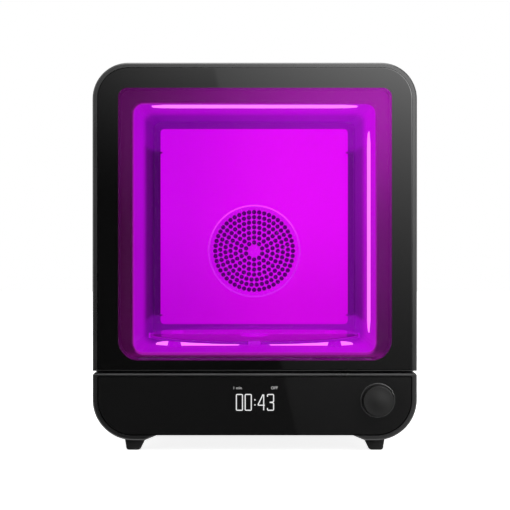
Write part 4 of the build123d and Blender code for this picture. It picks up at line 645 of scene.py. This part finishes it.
def spill_lit_frame(name, strength, sill_share=1.0):
    """Moulded frame round the chamber's mouth, with the light that spills over it painted on as glow."""
    material, shader = blank(name, (0.012, 0.001, 0.012), 0.5, Specular_IOR_Level=0.05)
    x, _, z = place_in(shader)

    def across(left, right):
        return ramp(x, (-FRAME_BOX[1].x, FRAME_BOX[1].x), left, right)

    sill = across(shade((0.078, 0.0015, 0.063), sill_share), shade((0.19, 0.009, 0.165), sill_share))
    lip = across((0.2, 0.004, 0.19), (0.32, 0.012, 0.3))
    foot = across((0.053, 0.0015, 0.044), (0.088, 0.005, 0.092))
    middle = across((0.045, 0.0015, 0.036), (0.15, 0.006, 0.16))
    top = across((0.088, 0.003, 0.085), (0.42, 0.016, 0.45))
    sill = ramp(z, (MOUTH_LOW - 4.5 * MM, MOUTH_LOW - 0.8 * MM), sill, lip)
    sides = ramp(z, FRAME_CLIMB, foot, middle)
    sides = ramp(z, FRAME_TOP, sides, top)
    plain = ramp(z, FRAME_SILL, sill, sides)
    # painted spill light: brightest at the mouth's edge, fading out between 16.5 and 18.5 mm beyond it
    beyond = beyond_mouth(x, z)
    spill = ramp(beyond, (0.0, 1.6 * MM), (0.42, 0.012, 0.45), plain)
    spill = ramp(z, FRAME_START, DARK, spill)
    glowing(shader, ramp(beyond, (16.5 * MM, 18.5 * MM), spill, DARK), strength)
    grained(shader, 900.0, 0.01 * MM)
    smudged(shader, 20.0, 0.4, 0.5)
    return material


def light_giving(name, base, roughness, tint, scale, dim, strength=1.0):
    """Surface that gives off a slightly uneven light."""
    material, shader = blank(name, base, roughness)
    haze = group_in(shader, "Fine Grain", Scale=scale)
    glowing(shader, ramp(haze, (0.3, 0.7), shade(tint, dim), tint), strength)
    return material


def pane_glass(name, tint, roughness, index, glow=DARK):
    """Clear or tinted glass with faint wipe marks in its sheen, and a painted glow where one is given; a
    low index keeps it free of glare.
    """
    material, shader = blank(name, tint, roughness, Transmission_Weight=1.0, IOR=index)
    glowing(shader, glow)
    smudged(shader, 9.0, roughness, roughness + 0.015)
    return material


def black_glass(name, level):
    """Opaque black glass with faint wipe marks in its gloss."""
    material, shader = blank(name, (level,) * 3, 0.015)
    smudged(shader, 9.0, 0.012, 0.025)
    toned(shader, group_in(shader, "Fine Grain", Scale=260.0), (level,) * 3, 0.9, 1.1)
    return material


# name of each finish's material, its maker and the maker's values; a word stands for a chosen colour
FINISHES = {
    # colour, lowest and highest roughness, grain and its depth, dust, specular level
    "casing": ("satin powder coat", moulded, "casing", 0.42, 0.52, 1400.0, 0.03 * MM, 0.05),
    "rim": ("satin rim plastic", moulded, "rim", 0.26, 0.32, 1100.0, 0.006 * MM, 0.0, 0.7),
    "knob": ("soft satin knob", moulded, "knob", 0.45, 0.55, 1600.0, 0.01 * MM, 0.0, 0.12),
    "ring": ("bright satin ring", moulded, (0.06,) * 3, 0.22, 0.3, 1500.0, 0.006 * MM),
    "inner": ("moulded inner plastic", moulded, (0.022,) * 3, 0.45, 0.6, 800.0, 0.02 * MM, 0.03),
    # near-black band of painted shade in the groove round the panel glass
    "seam": ("black seal", moulded, (0.0008,) * 3, 0.6, 0.75, 700.0, 0.02 * MM, 0.0, 0.02),
    "rubber": ("silicone rubber", moulded, (0.005,) * 3, 0.7, 0.85, 1800.0, 0.02 * MM, 0.0, 0.2),
    "dark steel": ("blackened steel", moulded, (0.012, 0.008, 0.012), 0.5, 0.6, 500.0),
    "gloss": ("glossy rocker plastic", moulded, (0.015,) * 3, 0.12, 0.2, 400.0),
    "board": ("circuit board lacquer", moulded, (0.01, 0.09, 0.04), 0.25, 0.4, 300.0),
    "display": ("dark display", moulded, (0.006, 0.006, 0.007), 0.1, 0.16, 500.0),
    # colour, lowest and highest roughness, stretch of the drawn lines
    "steel": ("drawn steel", metal, (0.5, 0.5, 0.51), 0.25, 0.4, (1.0, 1.0, 12.0)),
    "sheet": ("bright sheet metal", metal, (0.62,) * 3, 0.3, 0.48, (8.0, 1.0, 1.0)),
    "bronze": ("sintered bronze", metal, (0.6, 0.42, 0.2), 0.35, 0.5, (4.0, 4.0, 1.0)),
    # colour, painted glow
    "post": ("lit plastic", in_glow, (0.1, 0.001, 0.12), (0.42, 0.001, 0.62)),
    "fan": ("dark fan plastic", fan_painted_glow),
    "wall": ("lit chamber wall", lit_wall),
    "rim line": ("rolled rim", lit_rim),
    # painted glow on the left and on the right, roughness, share of the painted glow lower down
    "reflector": ("lit reflector", lit_panel, (0.69, 0.0, 0.93), (0.89, 0.0, 1.07), 0.45, 0.8),
    "grille": ("lit grille sheet", lit_panel, (0.58, 0.0, 0.82), (0.76, 0.001, 0.96), 0.4),
    # strength of the painted glow, share of it on the sill
    "frame": ("frame in spilled light", spill_lit_frame, 0.9),
    "trim": ("trim in spilled light", spill_lit_frame, 0.72, 0.55),
    # colour, roughness, light given off, scale of its unevenness, its dimmest share, strength
    "lens": ("milky light lens", light_giving, (0.5, 0.1, 0.6), 0.3, "lens", 45.0, 0.94, 1.3),
    "digit": ("lit timer digits", light_giving, (0.02,) * 3, 0.4, "digits", 700.0, 0.93),
    # tint, roughness, index, painted glow; then the level of the black glasses
    "tinted": ("violet tinted pane", pane_glass, "tint", 0.0, 1.08),
    "inner pane": ("clear inner pane", pane_glass, (0.99, 0.97, 0.99), 0.0, 1.05),
    # the turntable glass has a faint painted glow of the chamber's light
    "clear": ("clear turntable glass", pane_glass, (0.95, 0.88, 0.96), 0.015, 1.12, (0.03, 0.0003, 0.04)),
    "black": ("black panel glass", black_glass, 0.0065),
    "border": ("black glass border", black_glass, 0.003),
}


def finish_for(key):
    """Material for a finish, made on first use."""
    name, make, *values = FINISHES[key]
    made = bpy.data.materials.get(name)
    return made or make(name, *(chosen(value) if isinstance(value, str) else value for value in values))


def coat(finish, *nodes):
    """Give CAD nodes a finish, in place of their plain one."""
    material = finish_for(finish)
    for node in nodes:
        shape = NODES[node]
        for place in shape.material_slots:
            place.material = material
        if not shape.material_slots:
            shape.data.materials.append(material)


# ---------------------------------------------------------------- operators
class STATION_OT_casing(bpy.types.Operator):
    """Coat the casing, its tray and the rear panel"""

    bl_idname = "station.casing"
    bl_label = "Casing"

    def execute(self, context):
        coat("casing", "outer_shell", "rear_panel")
        coat("rim", "lower_bezel")
        coat("sheet", "base_tray")
        return {"FINISHED"}


class STATION_OT_door(bpy.types.Operator):
    """Finish the door and make its glass, with a border printed black round the window"""

    bl_idname = "station.door"
    bl_label = "Door"

    bevel_width = 0.4 * MM
    bevel_drop = 0.1 * MM
    glass_round = 26.7 * MM
    glass_low_round = 0.4 * MM
    bevel_low_round = 0.2 * MM
    window_gap = 0.01 * MM
    bevel_sharp = 1.5

    def execute(self, context):
        coat("rim", "door_frame")
        coat("tinted", "door_glass")
        coat("inner pane", "door_inner_pane")
        coat("inner", "door_inner_panel", "door_sensor")
        coat("rubber", "door_gasket")
        coat("steel", "door_magnets", "hinge_pins", "hinge_brackets")
        coat("dark steel", "door_strikes")
        # the hinge screws take the frame's painted spill light
        coat("frame", "hinge_screws")
        self.add_glass()
        return {"FINISHED"}

    def add_glass(self):
        """One sheet of glass: opaque where it is printed black, clear over the window."""
        face, back = GLASS_BOX[0].y, GLASS_BOX[1].y
        bevel = self.bevel_width
        outer = front_ring(GLASS_BOX, 0.0, self.glass_round, self.glass_low_round)
        inset = front_ring(GLASS_BOX, bevel, self.glass_round - bevel, self.bevel_low_round)
        inner = window_outline(0.0)
        drop = face + self.bevel_drop
        rings = ((inset, face), (outer, drop), (outer, back), (inner, back), (inner, face))
        make_piece(
            "door_glass_border", looped(rings), "door", "border",
            sharp=self.bevel_sharp, stands_for=("door_glass",),
        )
        clear = window_outline(self.window_gap)
        pane = stacked([[(x, depth, z) for x, z in clear] for depth in (face, back)])
        make_piece("door_glass_window", pane, "door", "tinted", stands_for=("door_glass",))


class STATION_OT_trim(bpy.types.Operator):
    """Matte trim on the inner side of the door's window, with the chamber's spilled light painted on it
    as glow
    """

    bl_idname = "station.trim"
    bl_label = "Window Trim"

    sheet = 0.4 * MM
    edge_gap = 0.02 * MM
    face_gap = 0.05 * MM

    def execute(self, context):
        outer, inner = window_outline(self.edge_gap), window_outline(self.sheet)
        trim = band(outer, inner, GLASS_BOX[1].y + self.face_gap, PANE_BOX[0].y - self.face_gap)
        make_piece("door_window_trim", trim, "door", "trim")
        return {"FINISHED"}


class STATION_OT_chamber(bpy.types.Operator):
    """Paint the chamber's light onto its walls, its frame and its reflector, as glow"""

    bl_idname = "station.chamber"
    bl_label = "Chamber"

    def execute(self, context):
        coat("wall", "chamber_liner")
        coat("frame", "front_frame")
        coat("reflector", "back_reflector")
        coat("sheet", "light_sinks", "heater_element")
        coat("fan", "fan_plenum", "fan_rotor", "fan_motor")
        coat("steel", "fan_shaft", "temperature_probe")
        coat("board", "light_boards")
        return {"FINISHED"}


class STATION_OT_lenses(bpy.types.Operator):
    """Milky lenses with round ends over the light boards"""

    bl_idname = "station.lenses"
    bl_label = "Light Lenses"

    end_steps = 16
    edge = 0.4 * MM
    shortest_end = 0.2 * MM

    def execute(self, context):
        self.add("top_light_lens", -UP, (22.0 * MM, 22.0 * MM), width=(0.18, 0.84))
        self.add("side_light_lens", Vector((-1, 0, 0)), (16.0 * MM, 16.0 * MM), sink=0.8 * MM)
        self.add("floor_light_lenses", UP, (20.0 * MM, 1.5 * MM), sides=(-1, 1))
        return {"FINISHED"}

    def outline(self, half, ends):
        """Outline with half ellipses at its ends; ends are their lengths, outer end first."""
        points = []
        for sign, end in zip((1, -1), ends):
            for step in range(self.end_steps + 1):
                angle = sign * pi / 2 - pi * step / self.end_steps
                points.append((sign * (half[0] - end) + end * cos(angle), half[1] * sin(angle)))
        return points

    def add(self, node, out, ends, width=(0.0, 1.0), sink=0.5 * MM, sides=(0,)):
        """Lens on each side of the middle, or one for side 0; width is its share of the depth."""
        thin, long = (2, 0) if out.z else (0, 2)
        lenses = []
        for side in sides:
            low, high = box_round([p for p in points_of(node) if p.x * side >= 0])
            low.y, high.y = (low.y + (high.y - low.y) * share for share in width)
            size = high - low
            across = Vector([(side or 1) if axis == long else 0 for axis in range(3)])
            back = (low + high) / 2 - out * size[thin] / 2
            top = size[thin] - sink
            rings = []
            for inset, height in ((0.0, 0.0), (0.0, top - self.edge), (self.edge, top)):
                half = (size[long] / 2 - inset, size[1] / 2 - inset)
                drawn = self.outline(half, [max(end - inset, self.shortest_end) for end in ends])
                rings.append([back + across * a + REAR * b + out * height for a, b in drawn])
            lenses.append(stacked(rings))
        make_piece(node + "_milky", joined(lenses), "housing", "lens", stands_for=(node,))


class STATION_OT_grille(bpy.types.Operator):
    """Perforated sheet over the fan, with a rolled rim"""

    bl_idname = "station.grille"
    bl_label = "Fan Grille"

    ring_counts = (10, 16, 22, 28, 35, 41, 48)
    hole_steps = 14
    edge_steps = 96
    rim_width = 1.5 * MM
    rim_roll = 0.7 * MM
    sheet = 0.8 * MM

    def execute(self, context):
        low, high = GRILLE_BOX
        centre = centre_of(GRILLE_BOX)
        radius = half_width(GRILLE_BOX)
        drawing = bpy.data.curves.new("grille_drawing", "CURVE")
        drawing.dimensions = "2D"
        drawing.fill_mode = "BOTH"
        drawing.extrude = self.sheet / 2
        self.circle(drawing, 0.0, 0.0, radius - self.rim_width / 2, self.edge_steps)
        for ring, count in enumerate(self.ring_counts):
            reach = sizes().ring_first + ring * sizes().ring_pitch
            for hole in range(count):
                angle = pi / 2 + 2 * pi * hole / count
                x, z = reach * cos(angle), reach * sin(angle)
                self.circle(drawing, x, z, sizes().hole_radius, self.hole_steps)
        mesh = mesh_of(drawing, (centre.x, high.y - self.sheet / 2, centre.z))
        place_mesh("fan_grille_sheet", mesh, "housing", "grille", stands_for=("fan_grille",))
        inner = radius - self.rim_width
        profile = ring_profile(inner, radius, low.y, high.y, self.rim_roll, self.rim_roll)
        rim = turned(profile, centre, REAR, sizes().round_steps)
        # the rim carries a painted highlight along its upper half
        make_piece("fan_grille_rim", rim, "housing", "rim line", stands_for=("fan_grille",))
        return {"FINISHED"}

    def circle(self, drawing, x, z, radius, steps):
        spline = drawing.splines.new("POLY")
        spline.points.add(steps - 1)
        for step, point in enumerate(spline.points):
            angle = 2 * pi * step / steps
            point.co = (x + radius * cos(angle), z + radius * sin(angle), 0.0, 1.0)
        spline.use_cyclic_u = True


class STATION_OT_turntable(bpy.types.Operator):
    """Glass turntable with a polished edge, its turned hub and its fittings"""

    bl_idname = "station.turntable"
    bl_label = "Turntable"

    bore = 6.1 * MM
    neck = 6.0 * MM
    edge_round = 0.9 * MM
    hub_round = 0.8 * MM
    neck_round = 0.5 * MM
    plate_steps = 128
    hub_steps = 64

    def execute(self, context):
        low, high = TABLE_BOX
        centre = centre_of(TABLE_BOX)
        edge = self.edge_round
        profile = ring_profile(self.bore, half_width(TABLE_BOX), low.z, high.z, 0, edge, edge)
        plate = turned(profile, centre, UP, self.plate_steps)
        make_piece(
            "turntable_plate", plate, "turntable", "clear",
            stands_for=("turntable_glass",),
        )
        base, top = HUB_BOX[0].z, HUB_BOX[1].z
        flange = half_width(HUB_BOX)
        profile = rounded_profile(
            (SHAFT_HOLE, base, 0), (flange, base, self.hub_round), (flange, low.z, self.hub_round),
            (self.neck, low.z, 0), (self.neck, top, self.neck_round), (SHAFT_HOLE, top, 0),
        )
        hub = turned(profile, centre, UP, self.hub_steps)
        # the hub, and the clips and posts below, take the chamber's light painted on as glow
        make_piece(
            "turntable_hub_turned", hub, "turntable", "post",
            stands_for=("turntable_hub",),
        )
        coat("post", "turntable_clips", "turntable_posts")
        coat("bronze", "turntable_bush")
        coat("steel", "turntable_shaft", "motor_bracket", "turntable_motor")
        return {"FINISHED"}


class STATION_OT_knob(bpy.types.Operator):
    """Turned knob with a low dome, and the thin ring round its recess"""

    bl_idname = "station.knob"
    bl_label = "Knob"

    dome_height = 1.0 * MM
    dome_steps = 14
    tip_share = 0.002
    shoulder = 0.5 * MM
    shoulder_steps = 7
    cap = 3.6 * MM
    ring_width = 0.7 * MM
    ring_round = 0.4 * MM

    def execute(self, context):
        centre = centre_of(KNOB_BOX)
        radius = half_width(KNOB_BOX)
        face, back = KNOB_BOX[0].y, KNOB_BOX[1].y
        reach = radius - self.shoulder
        profile = []
        for step in range(self.dome_steps + 1):
            share = max(step / self.dome_steps, self.tip_share)
            profile.append((reach * share, face + self.dome_height * (1 - cos(pi * share)) / 2))
        for step in range(1, self.shoulder_steps + 1):
            angle = pi / 2 * step / self.shoulder_steps
            drop = self.dome_height + self.shoulder * (1 - cos(angle))
            profile.append((reach + self.shoulder * sin(angle), face + drop))
        inside = face + self.cap
        profile += [(radius, back), (SHAFT_HOLE, back), (SHAFT_HOLE, inside), (ON_AXIS, inside)]
        knob = turned(profile, centre, REAR, sizes().round_steps)
        make_piece("knob_turned", knob, "knob", "knob", stands_for=("knob",))
        outer, edge = half_width(RING_BOX), self.ring_round
        profile = ring_profile(outer - self.ring_width, outer, RING_BOX[0].y, RING_BOX[1].y, edge, edge)
        ring = turned(profile, centre, REAR, sizes().round_steps)
        make_piece("knob_ring_turned", ring, "housing", "ring", stands_for=("knob_ring",))
        coat("steel", "knob_stem")
        coat("inner", "encoder_plunger", "encoder_body")
        return {"FINISHED"}


class STATION_OT_controls(bpy.types.Operator):
    """Black panel glass, the display behind it and the digits it shows"""

    bl_idname = "station.controls"
    bl_label = "Controls"

    seam = 0.8 * MM
    seam_lift = 0.05 * MM
    seam_gap = 0.01 * MM
    panel_round = 30.7 * MM
    panel_top_round = 1.0 * MM
    bend = 0.9 * MM
    bend_steps = 4
    lift = 0.04 * MM
    digit_width = 6.15 * MM
    digit_gap = 1.45 * MM
    digit_left = -16.3 * MM
    digit_base = 35.7 * MM
    colon_width = 3.3 * MM
    dot_place = 0.8 * MM
    dot_half = 0.6 * MM
    dot_levels = (0.34, 0.66)
    label_base = 54.25 * MM
    label_size = 3.5 * MM
    label_offset = -0.05 * MM
    # centre lines of the digits, in shares of their width and height
    lines = {
        "0": [[(0, 0), (1, 0), (1, 1), (0, 1), (0, 0)]],
        "1": [[(0.2, 0.8), (0.7, 1), (0.7, 0)]],
        "2": [[(0, 0.82), (0, 1), (1, 1), (1, 0.56), (0, 0.3), (0, 0), (1, 0)]],
        "3": [
            [(0, 0.86), (0, 1), (1, 1), (1, 0.53), (0.35, 0.5)],
            [(0, 0.14), (0, 0), (1, 0), (1, 0.47), (0.35, 0.5)],
        ],
        "4": [[(0.96, 0), (0.96, 1)], [(0.84, 1), (0, 0.32), (1.14, 0.32)]],
        "5": [[(1, 1), (0, 1), (0, 0.56), (1, 0.56), (1, 0), (0, 0), (0, 0.14)]],
        "6": [[(1, 1), (0, 1), (0, 0), (1, 0), (1, 0.54), (0, 0.54)]],
        "7": [[(0, 1), (1, 1), (0.4, 0)]],
        "8": [[(0, 0), (1, 0), (1, 1), (0, 1), (0, 0)], [(0, 0.5), (1, 0.5)]],
        "9": [[(0, 0), (1, 0), (1, 1), (0, 1), (0, 0.46), (1, 0.46)]],
    }

    def execute(self, context):
        coat("black", "control_glass")
        coat("display", "display_module")
        coat("board", "control_board")
        self.add_seam()
        self.add_timer()
        self.add_label("delay_label", "1 min", -18.9 * MM)
        self.add_label("heat_label", "OFF", 13.9 * MM)
        return {"FINISHED"}

    def add_seam(self):
        """Thin near-black band where the panel glass meets its bezel: painted shade of the groove there.
        """
        outer, inner = (
            front_ring(PANEL_BOX, inset, self.panel_top_round, self.panel_round - inset)
            for inset in (0.0, self.seam)
        )
        face = PANEL_BOX[0].y
        seal = band(outer, inner, face - self.seam_lift, face - self.seam_gap)
        make_piece("panel_seam", seal, "housing", "seam")

    def add_timer(self):
        """Digits of the timer, with a colon in the middle."""
        stroke = sizes().digit_stroke
        tall = sizes().digit_height - stroke
        wide = self.digit_width - stroke
        base = self.digit_base + stroke / 2
        left = self.digit_left + stroke / 2
        paths = []
        for index, character in enumerate(sizes().timer_text):
            if index == 2:
                for level in self.dot_levels:
                    ends = (base + tall * level + part for part in (-self.dot_half, self.dot_half))
                    paths.append([Vector((left + self.dot_place, end)) for end in ends])
                left += self.colon_width
            digit = self.lines[character]
            for line in digit:
                paths.append([Vector((left + wide * x, base + tall * z)) for x, z in line])
            left += wide * max(x for line in digit for x, _ in line) + stroke + self.digit_gap
        ribbons = joined([self.ribbon(path, stroke) for path in paths])
        make_piece("timer_digits", ribbons, "housing", "digit")

    def softened(self, path, closed):
        """The centre line with each bend rounded."""
        count = len(path)
        points = [] if closed else [path[0]]
        for index in range(count) if closed else range(1, count - 1):
            here, before, after = path[index], path[index - 1], path[(index + 1) % count]
            reach = min(self.bend, (before - here).length * 0.45, (after - here).length * 0.45)
            first = here + (before - here).normalized() * reach
            last = here + (after - here).normalized() * reach
            for step in range(self.bend_steps + 1):
                share = step / self.bend_steps
                points.append(first.lerp(here, share).lerp(here.lerp(last, share), share))
        return points if closed else points + [path[-1]]

    def ribbon(self, path, stroke):
        """Form of a flat ribbon along a centre line, just in front of the panel glass."""
        closed = path[0] == path[-1]
        line = self.softened(path[:-1] if closed else path, closed)
        count = len(line)
        verts = []
        for index, point in enumerate(line):
            before = line[index - 1] if closed or index else point
            after = line[(index + 1) % count] if closed or index < count - 1 else point
            along = (after - before).normalized()
            side = Vector((along.y, -along.x)) * stroke / 2
            for edge in (point - side, point + side):
                verts.append((edge.x, PANEL_BOX[0].y - self.lift, edge.y))
        faces = []
        for index in range(count if closed else count - 1):
            here, there = 2 * index, 2 * ((index + 1) % count)
            faces.append((here, here + 1, there + 1, there))
        return verts, faces

    def add_label(self, name, text, left):
        writing = bpy.data.curves.new(name, "FONT")
        writing.body = text
        writing.size = self.label_size
        writing.offset = self.label_offset
        mesh = mesh_of(writing, (left, PANEL_BOX[0].y - self.lift, self.label_base))
        place_mesh(name, mesh, "housing", "digit")


class STATION_OT_feet(bpy.types.Operator):
    """Soft feet, upright outside and slanted inside"""

    bl_idname = "station.feet"
    bl_label = "Feet"

    flare = 1.3 * MM
    sole_inset_outer = 1.6 * MM
    sole_inset_inner = 5.0 * MM
    sole_round = 1.6 * MM
    sole_steps = 5
    corner = 2.4 * MM
    corner_steps = 5

    def execute(self, context):
        for end in ("front", "rear"):
            self.add(f"foot_{end}_left", -1)
            self.add(f"foot_{end}_right", 1)
        return {"FINISHED"}

    def add(self, node, sign):
        """Foot with a round sole that widens up to the casing."""
        low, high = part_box(node)
        inner, outer = sorted((abs(low.x), abs(high.x)))
        turns = [pi / 2 * step / self.sole_steps for step in range(self.sole_steps + 1)]
        levels = [(self.sole_round * (1 - cos(a)), self.sole_round * (1 - sin(a))) for a in turns]
        rings = []
        for height, inset in levels + [(BODY_LOW, 0.0), (high.z, 0.0)]:
            slant = 1 - min(height / BODY_LOW, 1.0)
            near = inner - self.flare + self.sole_inset_inner * slant + inset
            far = outer + self.flare - self.sole_inset_outer * slant - inset
            left, right = sorted((sign * near, sign * far))
            corner = self.corner - inset / 2
            outline = rounded_ring(
                (left, low.y + inset), (right, high.y - inset), corner, self.corner_steps,
            )
            rings.append([(x, y, height) for x, y in outline])
        make_piece(node + "_soft", stacked(rings), "housing", "rubber", stands_for=(node,))


class STATION_OT_rear(bpy.types.Operator):
    """Fittings of the rear panel and of the bay behind it"""

    bl_idname = "station.rear"
    bl_label = "Rear Fittings"

    screws_apart = 8.0 * MM
    screw_steps = 24
    edge_steps = 4
    head = 2.8 * MM
    head_height = 1.6 * MM
    head_round = 0.8 * MM
    shank = 1.4 * MM
    tip_round = 0.2 * MM
    socket = 1.1 * MM
    socket_depth = 0.9 * MM
    socket_round = 0.1 * MM

    def execute(self, context):
        coat("inner", "exhaust_fan_frame", "exhaust_fan_rotor", "power_inlet", "switch_housing")
        coat("gloss", "switch_rocker")
        coat("sheet", "power_supply")
        coat("board", "logic_board")
        coat("steel", "board_standoffs")
        self.add_screws()
        return {"FINISHED"}

    def add_screws(self):
        """Turned screws with a socket, in place of the plain ones."""
        points = points_of("rear_screws")
        front, back = (corner.y for corner in box_round(points))
        middles = []
        for point in points:
            near = [p for p in points if hypot(p.x - point.x, p.z - point.z) < self.screws_apart]
            middle = centre_of(box_round(near))
            if not any((middle - other).length < self.screws_apart for other in middles):
                middles.append(middle)
        seat, floor = back - self.head_height, back - self.socket_depth
        profile = rounded_profile(
            (ON_AXIS, front, 0), (self.shank, front, self.tip_round), (self.shank, seat, 0),
            (self.head, seat, 0), (self.head, back, self.head_round),
            (self.socket, back, self.socket_round), (self.socket, floor, 0), (ON_AXIS, floor, 0),
            steps=self.edge_steps,
        )
        screws = joined([turned(profile, middle, REAR, self.screw_steps) for middle in middles])
        make_piece("rear_screws_turned", screws, "housing", "steel", stands_for=("rear_screws",))


class STATION_OT_stage(bpy.types.Operator):
    """Pale floor, soft studio light, the wall that the glass reflects, and the camera"""

    bl_idname = "station.stage"
    bl_label = "Stage"

    world_level = 0.55
    floor_radius = 3.0
    floor_lift = 0.84
    # place, height of the target, size and power of each lamp
    lamps = {
        "key_lamp": ((1.5, -1.6, 1.9), 0.17, 1.2, 26.0),
        "top_lamp": ((0.1, -0.1, 2.3), 0.2, 1.4, 22.0),
        "left_lamp": ((-1.9, -0.9, 1.0), 0.17, 0.8, 5.0),
    }
    wall_depth = -2.6
    wall_corners = ((-4.5, 5.0), (4.5, 5.0), (4.5, -3.0), (-4.5, -3.0))
    # edge of the lit window on the wall, how far it leans, and how its light changes
    window_edge = (0.034, 0.044)
    window_lean = 0.2265
    window_rise = (0.254, 3.6, 1.5)
    window_spread = (1.22, 0.55)
    window_level = 0.98
    haze_rise = (0.25, 0.31, 1.3)
    haze_spread = (1.9, 1.1, 0.1)
    wall_level = 0.02

    def execute(self, context):
        scene = bpy.context.scene
        scene.view_settings.view_transform = "Standard"
        self.add_world(scene)
        self.add_floor()
        for name, (place, height, size, power) in self.lamps.items():
            light = bpy.data.lights.new(name, "AREA")
            light.size = size
            light.energy = power
            lamp = added(name, light)
            lamp.location = place
            aim = Vector((0.0, 0.0, height)) - Vector(place)
            lamp.rotation_euler = aim.to_track_quat("-Z", "Y").to_euler()
        self.add_studio_wall()
        self.add_camera(scene)
        return {"FINISHED"}

    def add_camera(self, scene):
        """Camera straight in front of the door."""
        eye = bpy.data.cameras.new("camera")
        eye.lens = LENS_MM
        eye.sensor_width = 36.0
        eye.shift_x = SHIFT_X
        eye.shift_y = SHIFT_Y
        scene.camera = added("camera", eye)
        scene.camera.location = (EYE_ASIDE, DOOR_FRONT - EYE_DISTANCE, EYE_HEIGHT)
        scene.camera.rotation_euler = (pi / 2, 0.0, 0.0)

    def add_world(self, scene):
        """Even light, seen as white by the camera, in gloss and through glass."""
        scene.world = bpy.data.worlds.new("studio")
        scene.world.use_nodes = True
        tree = scene.world.node_tree
        tree.nodes.clear()
        rays = tree.nodes.new("ShaderNodeLightPath").outputs
        seen = maths("MAXIMUM", rays["Is Camera Ray"], rays["Is Transmission Ray"])
        seen = maths("MAXIMUM", seen, rays["Is Glossy Ray"])
        level = node_on(tree, "MapRange", "Result", Value=seen, To_Min=self.world_level)
        backdrop = node_on(tree, "Background", "Background", Color=WHITE, Strength=level)
        fill(tree.nodes.new("ShaderNodeOutputWorld"), Surface=backdrop)

    def add_floor(self):
        """Round white floor, bright to the camera except where the object shades it."""
        mesh = bpy.data.meshes.new("floor")
        shape = bmesh.new()
        bmesh.ops.create_circle(shape, cap_ends=True, segments=64, radius=self.floor_radius)
        shape.to_mesh(mesh)
        shape.free()
        material, shader = blank("studio floor", (0.9,) * 3, 0.9, Specular_IOR_Level=0.0)
        seen = node_on(shader, "LightPath", "Is Camera Ray")
        glowing(shader, WHITE, maths("MULTIPLY", seen, self.floor_lift))
        mesh.materials.append(material)
        floor = added("floor", mesh)
        floor.visible_glossy = False
        floor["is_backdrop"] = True

    def add_studio_wall(self):
        """Dark wall in front of the station with a lit window on its right, seen only in gloss."""
        mesh = bpy.data.meshes.new("studio_wall")
        mesh.from_pydata([(x, self.wall_depth, z) for x, z in self.wall_corners], [], [(0, 1, 2, 3)])
        material = bpy.data.materials.new("studio wall")
        material.use_nodes = True
        tree = material.node_tree
        tree.nodes.clear()
        glow = node_on(tree, "Emission", "Emission", Strength=self.wall_light(tree))
        fill(tree.nodes.new("ShaderNodeOutputMaterial"), Surface=glow)
        mesh.materials.append(material)
        wall = added("studio_wall", mesh)
        wall.visible_camera = False
        wall.visible_diffuse = False
        wall.visible_shadow = False
        wall.visible_transmission = False
        wall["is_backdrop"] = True

    def wall_light(self, tree):
        """Strength of the light on the wall: a lit window, and a haze beside it."""
        x, _, z = place_in(tree)
        # the lit part lies to the right of a line that leans to the left as it rises
        aside = maths("ADD", x, maths("MULTIPLY", z, self.window_lean))
        near, far = self.window_edge
        inside = node_on(tree, "MapRange", "Result", Value=aside, From_Min=near, From_Max=far)
        foot, rate, limit = self.window_rise
        climb = maths("MULTIPLY", maths("SUBTRACT", z, foot), rate)
        rise = maths("EXPONENT", maths("MINIMUM", climb, limit))
        slope, middle = self.window_spread
        spread = maths("ADD", maths("MULTIPLY", x, slope), middle)
        lit = maths("MULTIPLY", maths("MULTIPLY", rise, spread), self.window_level)
        foot, reach, limit = self.haze_rise
        haze = maths("DIVIDE", maths("MAXIMUM", maths("SUBTRACT", z, foot)), reach)
        haze = maths("MINIMUM", haze, limit)
        slope, middle, least = self.haze_spread
        spread = maths("MAXIMUM", maths("ADD", maths("MULTIPLY", x, slope), middle), least)
        dim = maths("MULTIPLY", maths("MULTIPLY", haze, haze), spread)
        return maths("ADD", mixed(inside, dim, lit, "FLOAT"), self.wall_level)


OPERATORS = (
    STATION_OT_stage, STATION_OT_casing, STATION_OT_door, STATION_OT_trim, STATION_OT_chamber,
    STATION_OT_lenses, STATION_OT_grille, STATION_OT_turntable, STATION_OT_knob, STATION_OT_controls,
    STATION_OT_feet, STATION_OT_rear,
)


class STATION_PT_panel(bpy.types.Panel):
    """Buttons that make the station's pieces, and its sizes and colours"""

    bl_idname = "STATION_PT_panel"
    bl_label = "Curing Station"
    bl_space_type = "VIEW_3D"
    bl_region_type = "UI"
    bl_category = "Station"

    def draw(self, context):
        for operator in OPERATORS:
            self.layout.operator(operator.bl_idname)
        for group in (context.scene.station_sizes, context.scene.station_colours):
            for name in group.__annotations__:
                self.layout.prop(group, name)


CLASSES = (StationSizes, StationColours, *OPERATORS, STATION_PT_panel)


def register():
    for item in CLASSES:
        bpy.utils.register_class(item)
    bpy.types.Scene.station_sizes = PointerProperty(type=StationSizes)
    bpy.types.Scene.station_colours = PointerProperty(type=StationColours)


def unregister():
    del bpy.types.Scene.station_colours
    del bpy.types.Scene.station_sizes
    for item in reversed(CLASSES):
        bpy.utils.unregister_class(item)


def plain(box):
    """Two corners as plain lists of numbers."""
    return [list(map(float, corner)) for corner in box]


def main():
    register()
    for operator in OPERATORS:
        getattr(bpy.ops.station, operator.bl_idname.split(".")[1])()
    {"cad": plain(CAD_BOX), "visual": plain(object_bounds())}


if __name__ == "__main__":
    main()
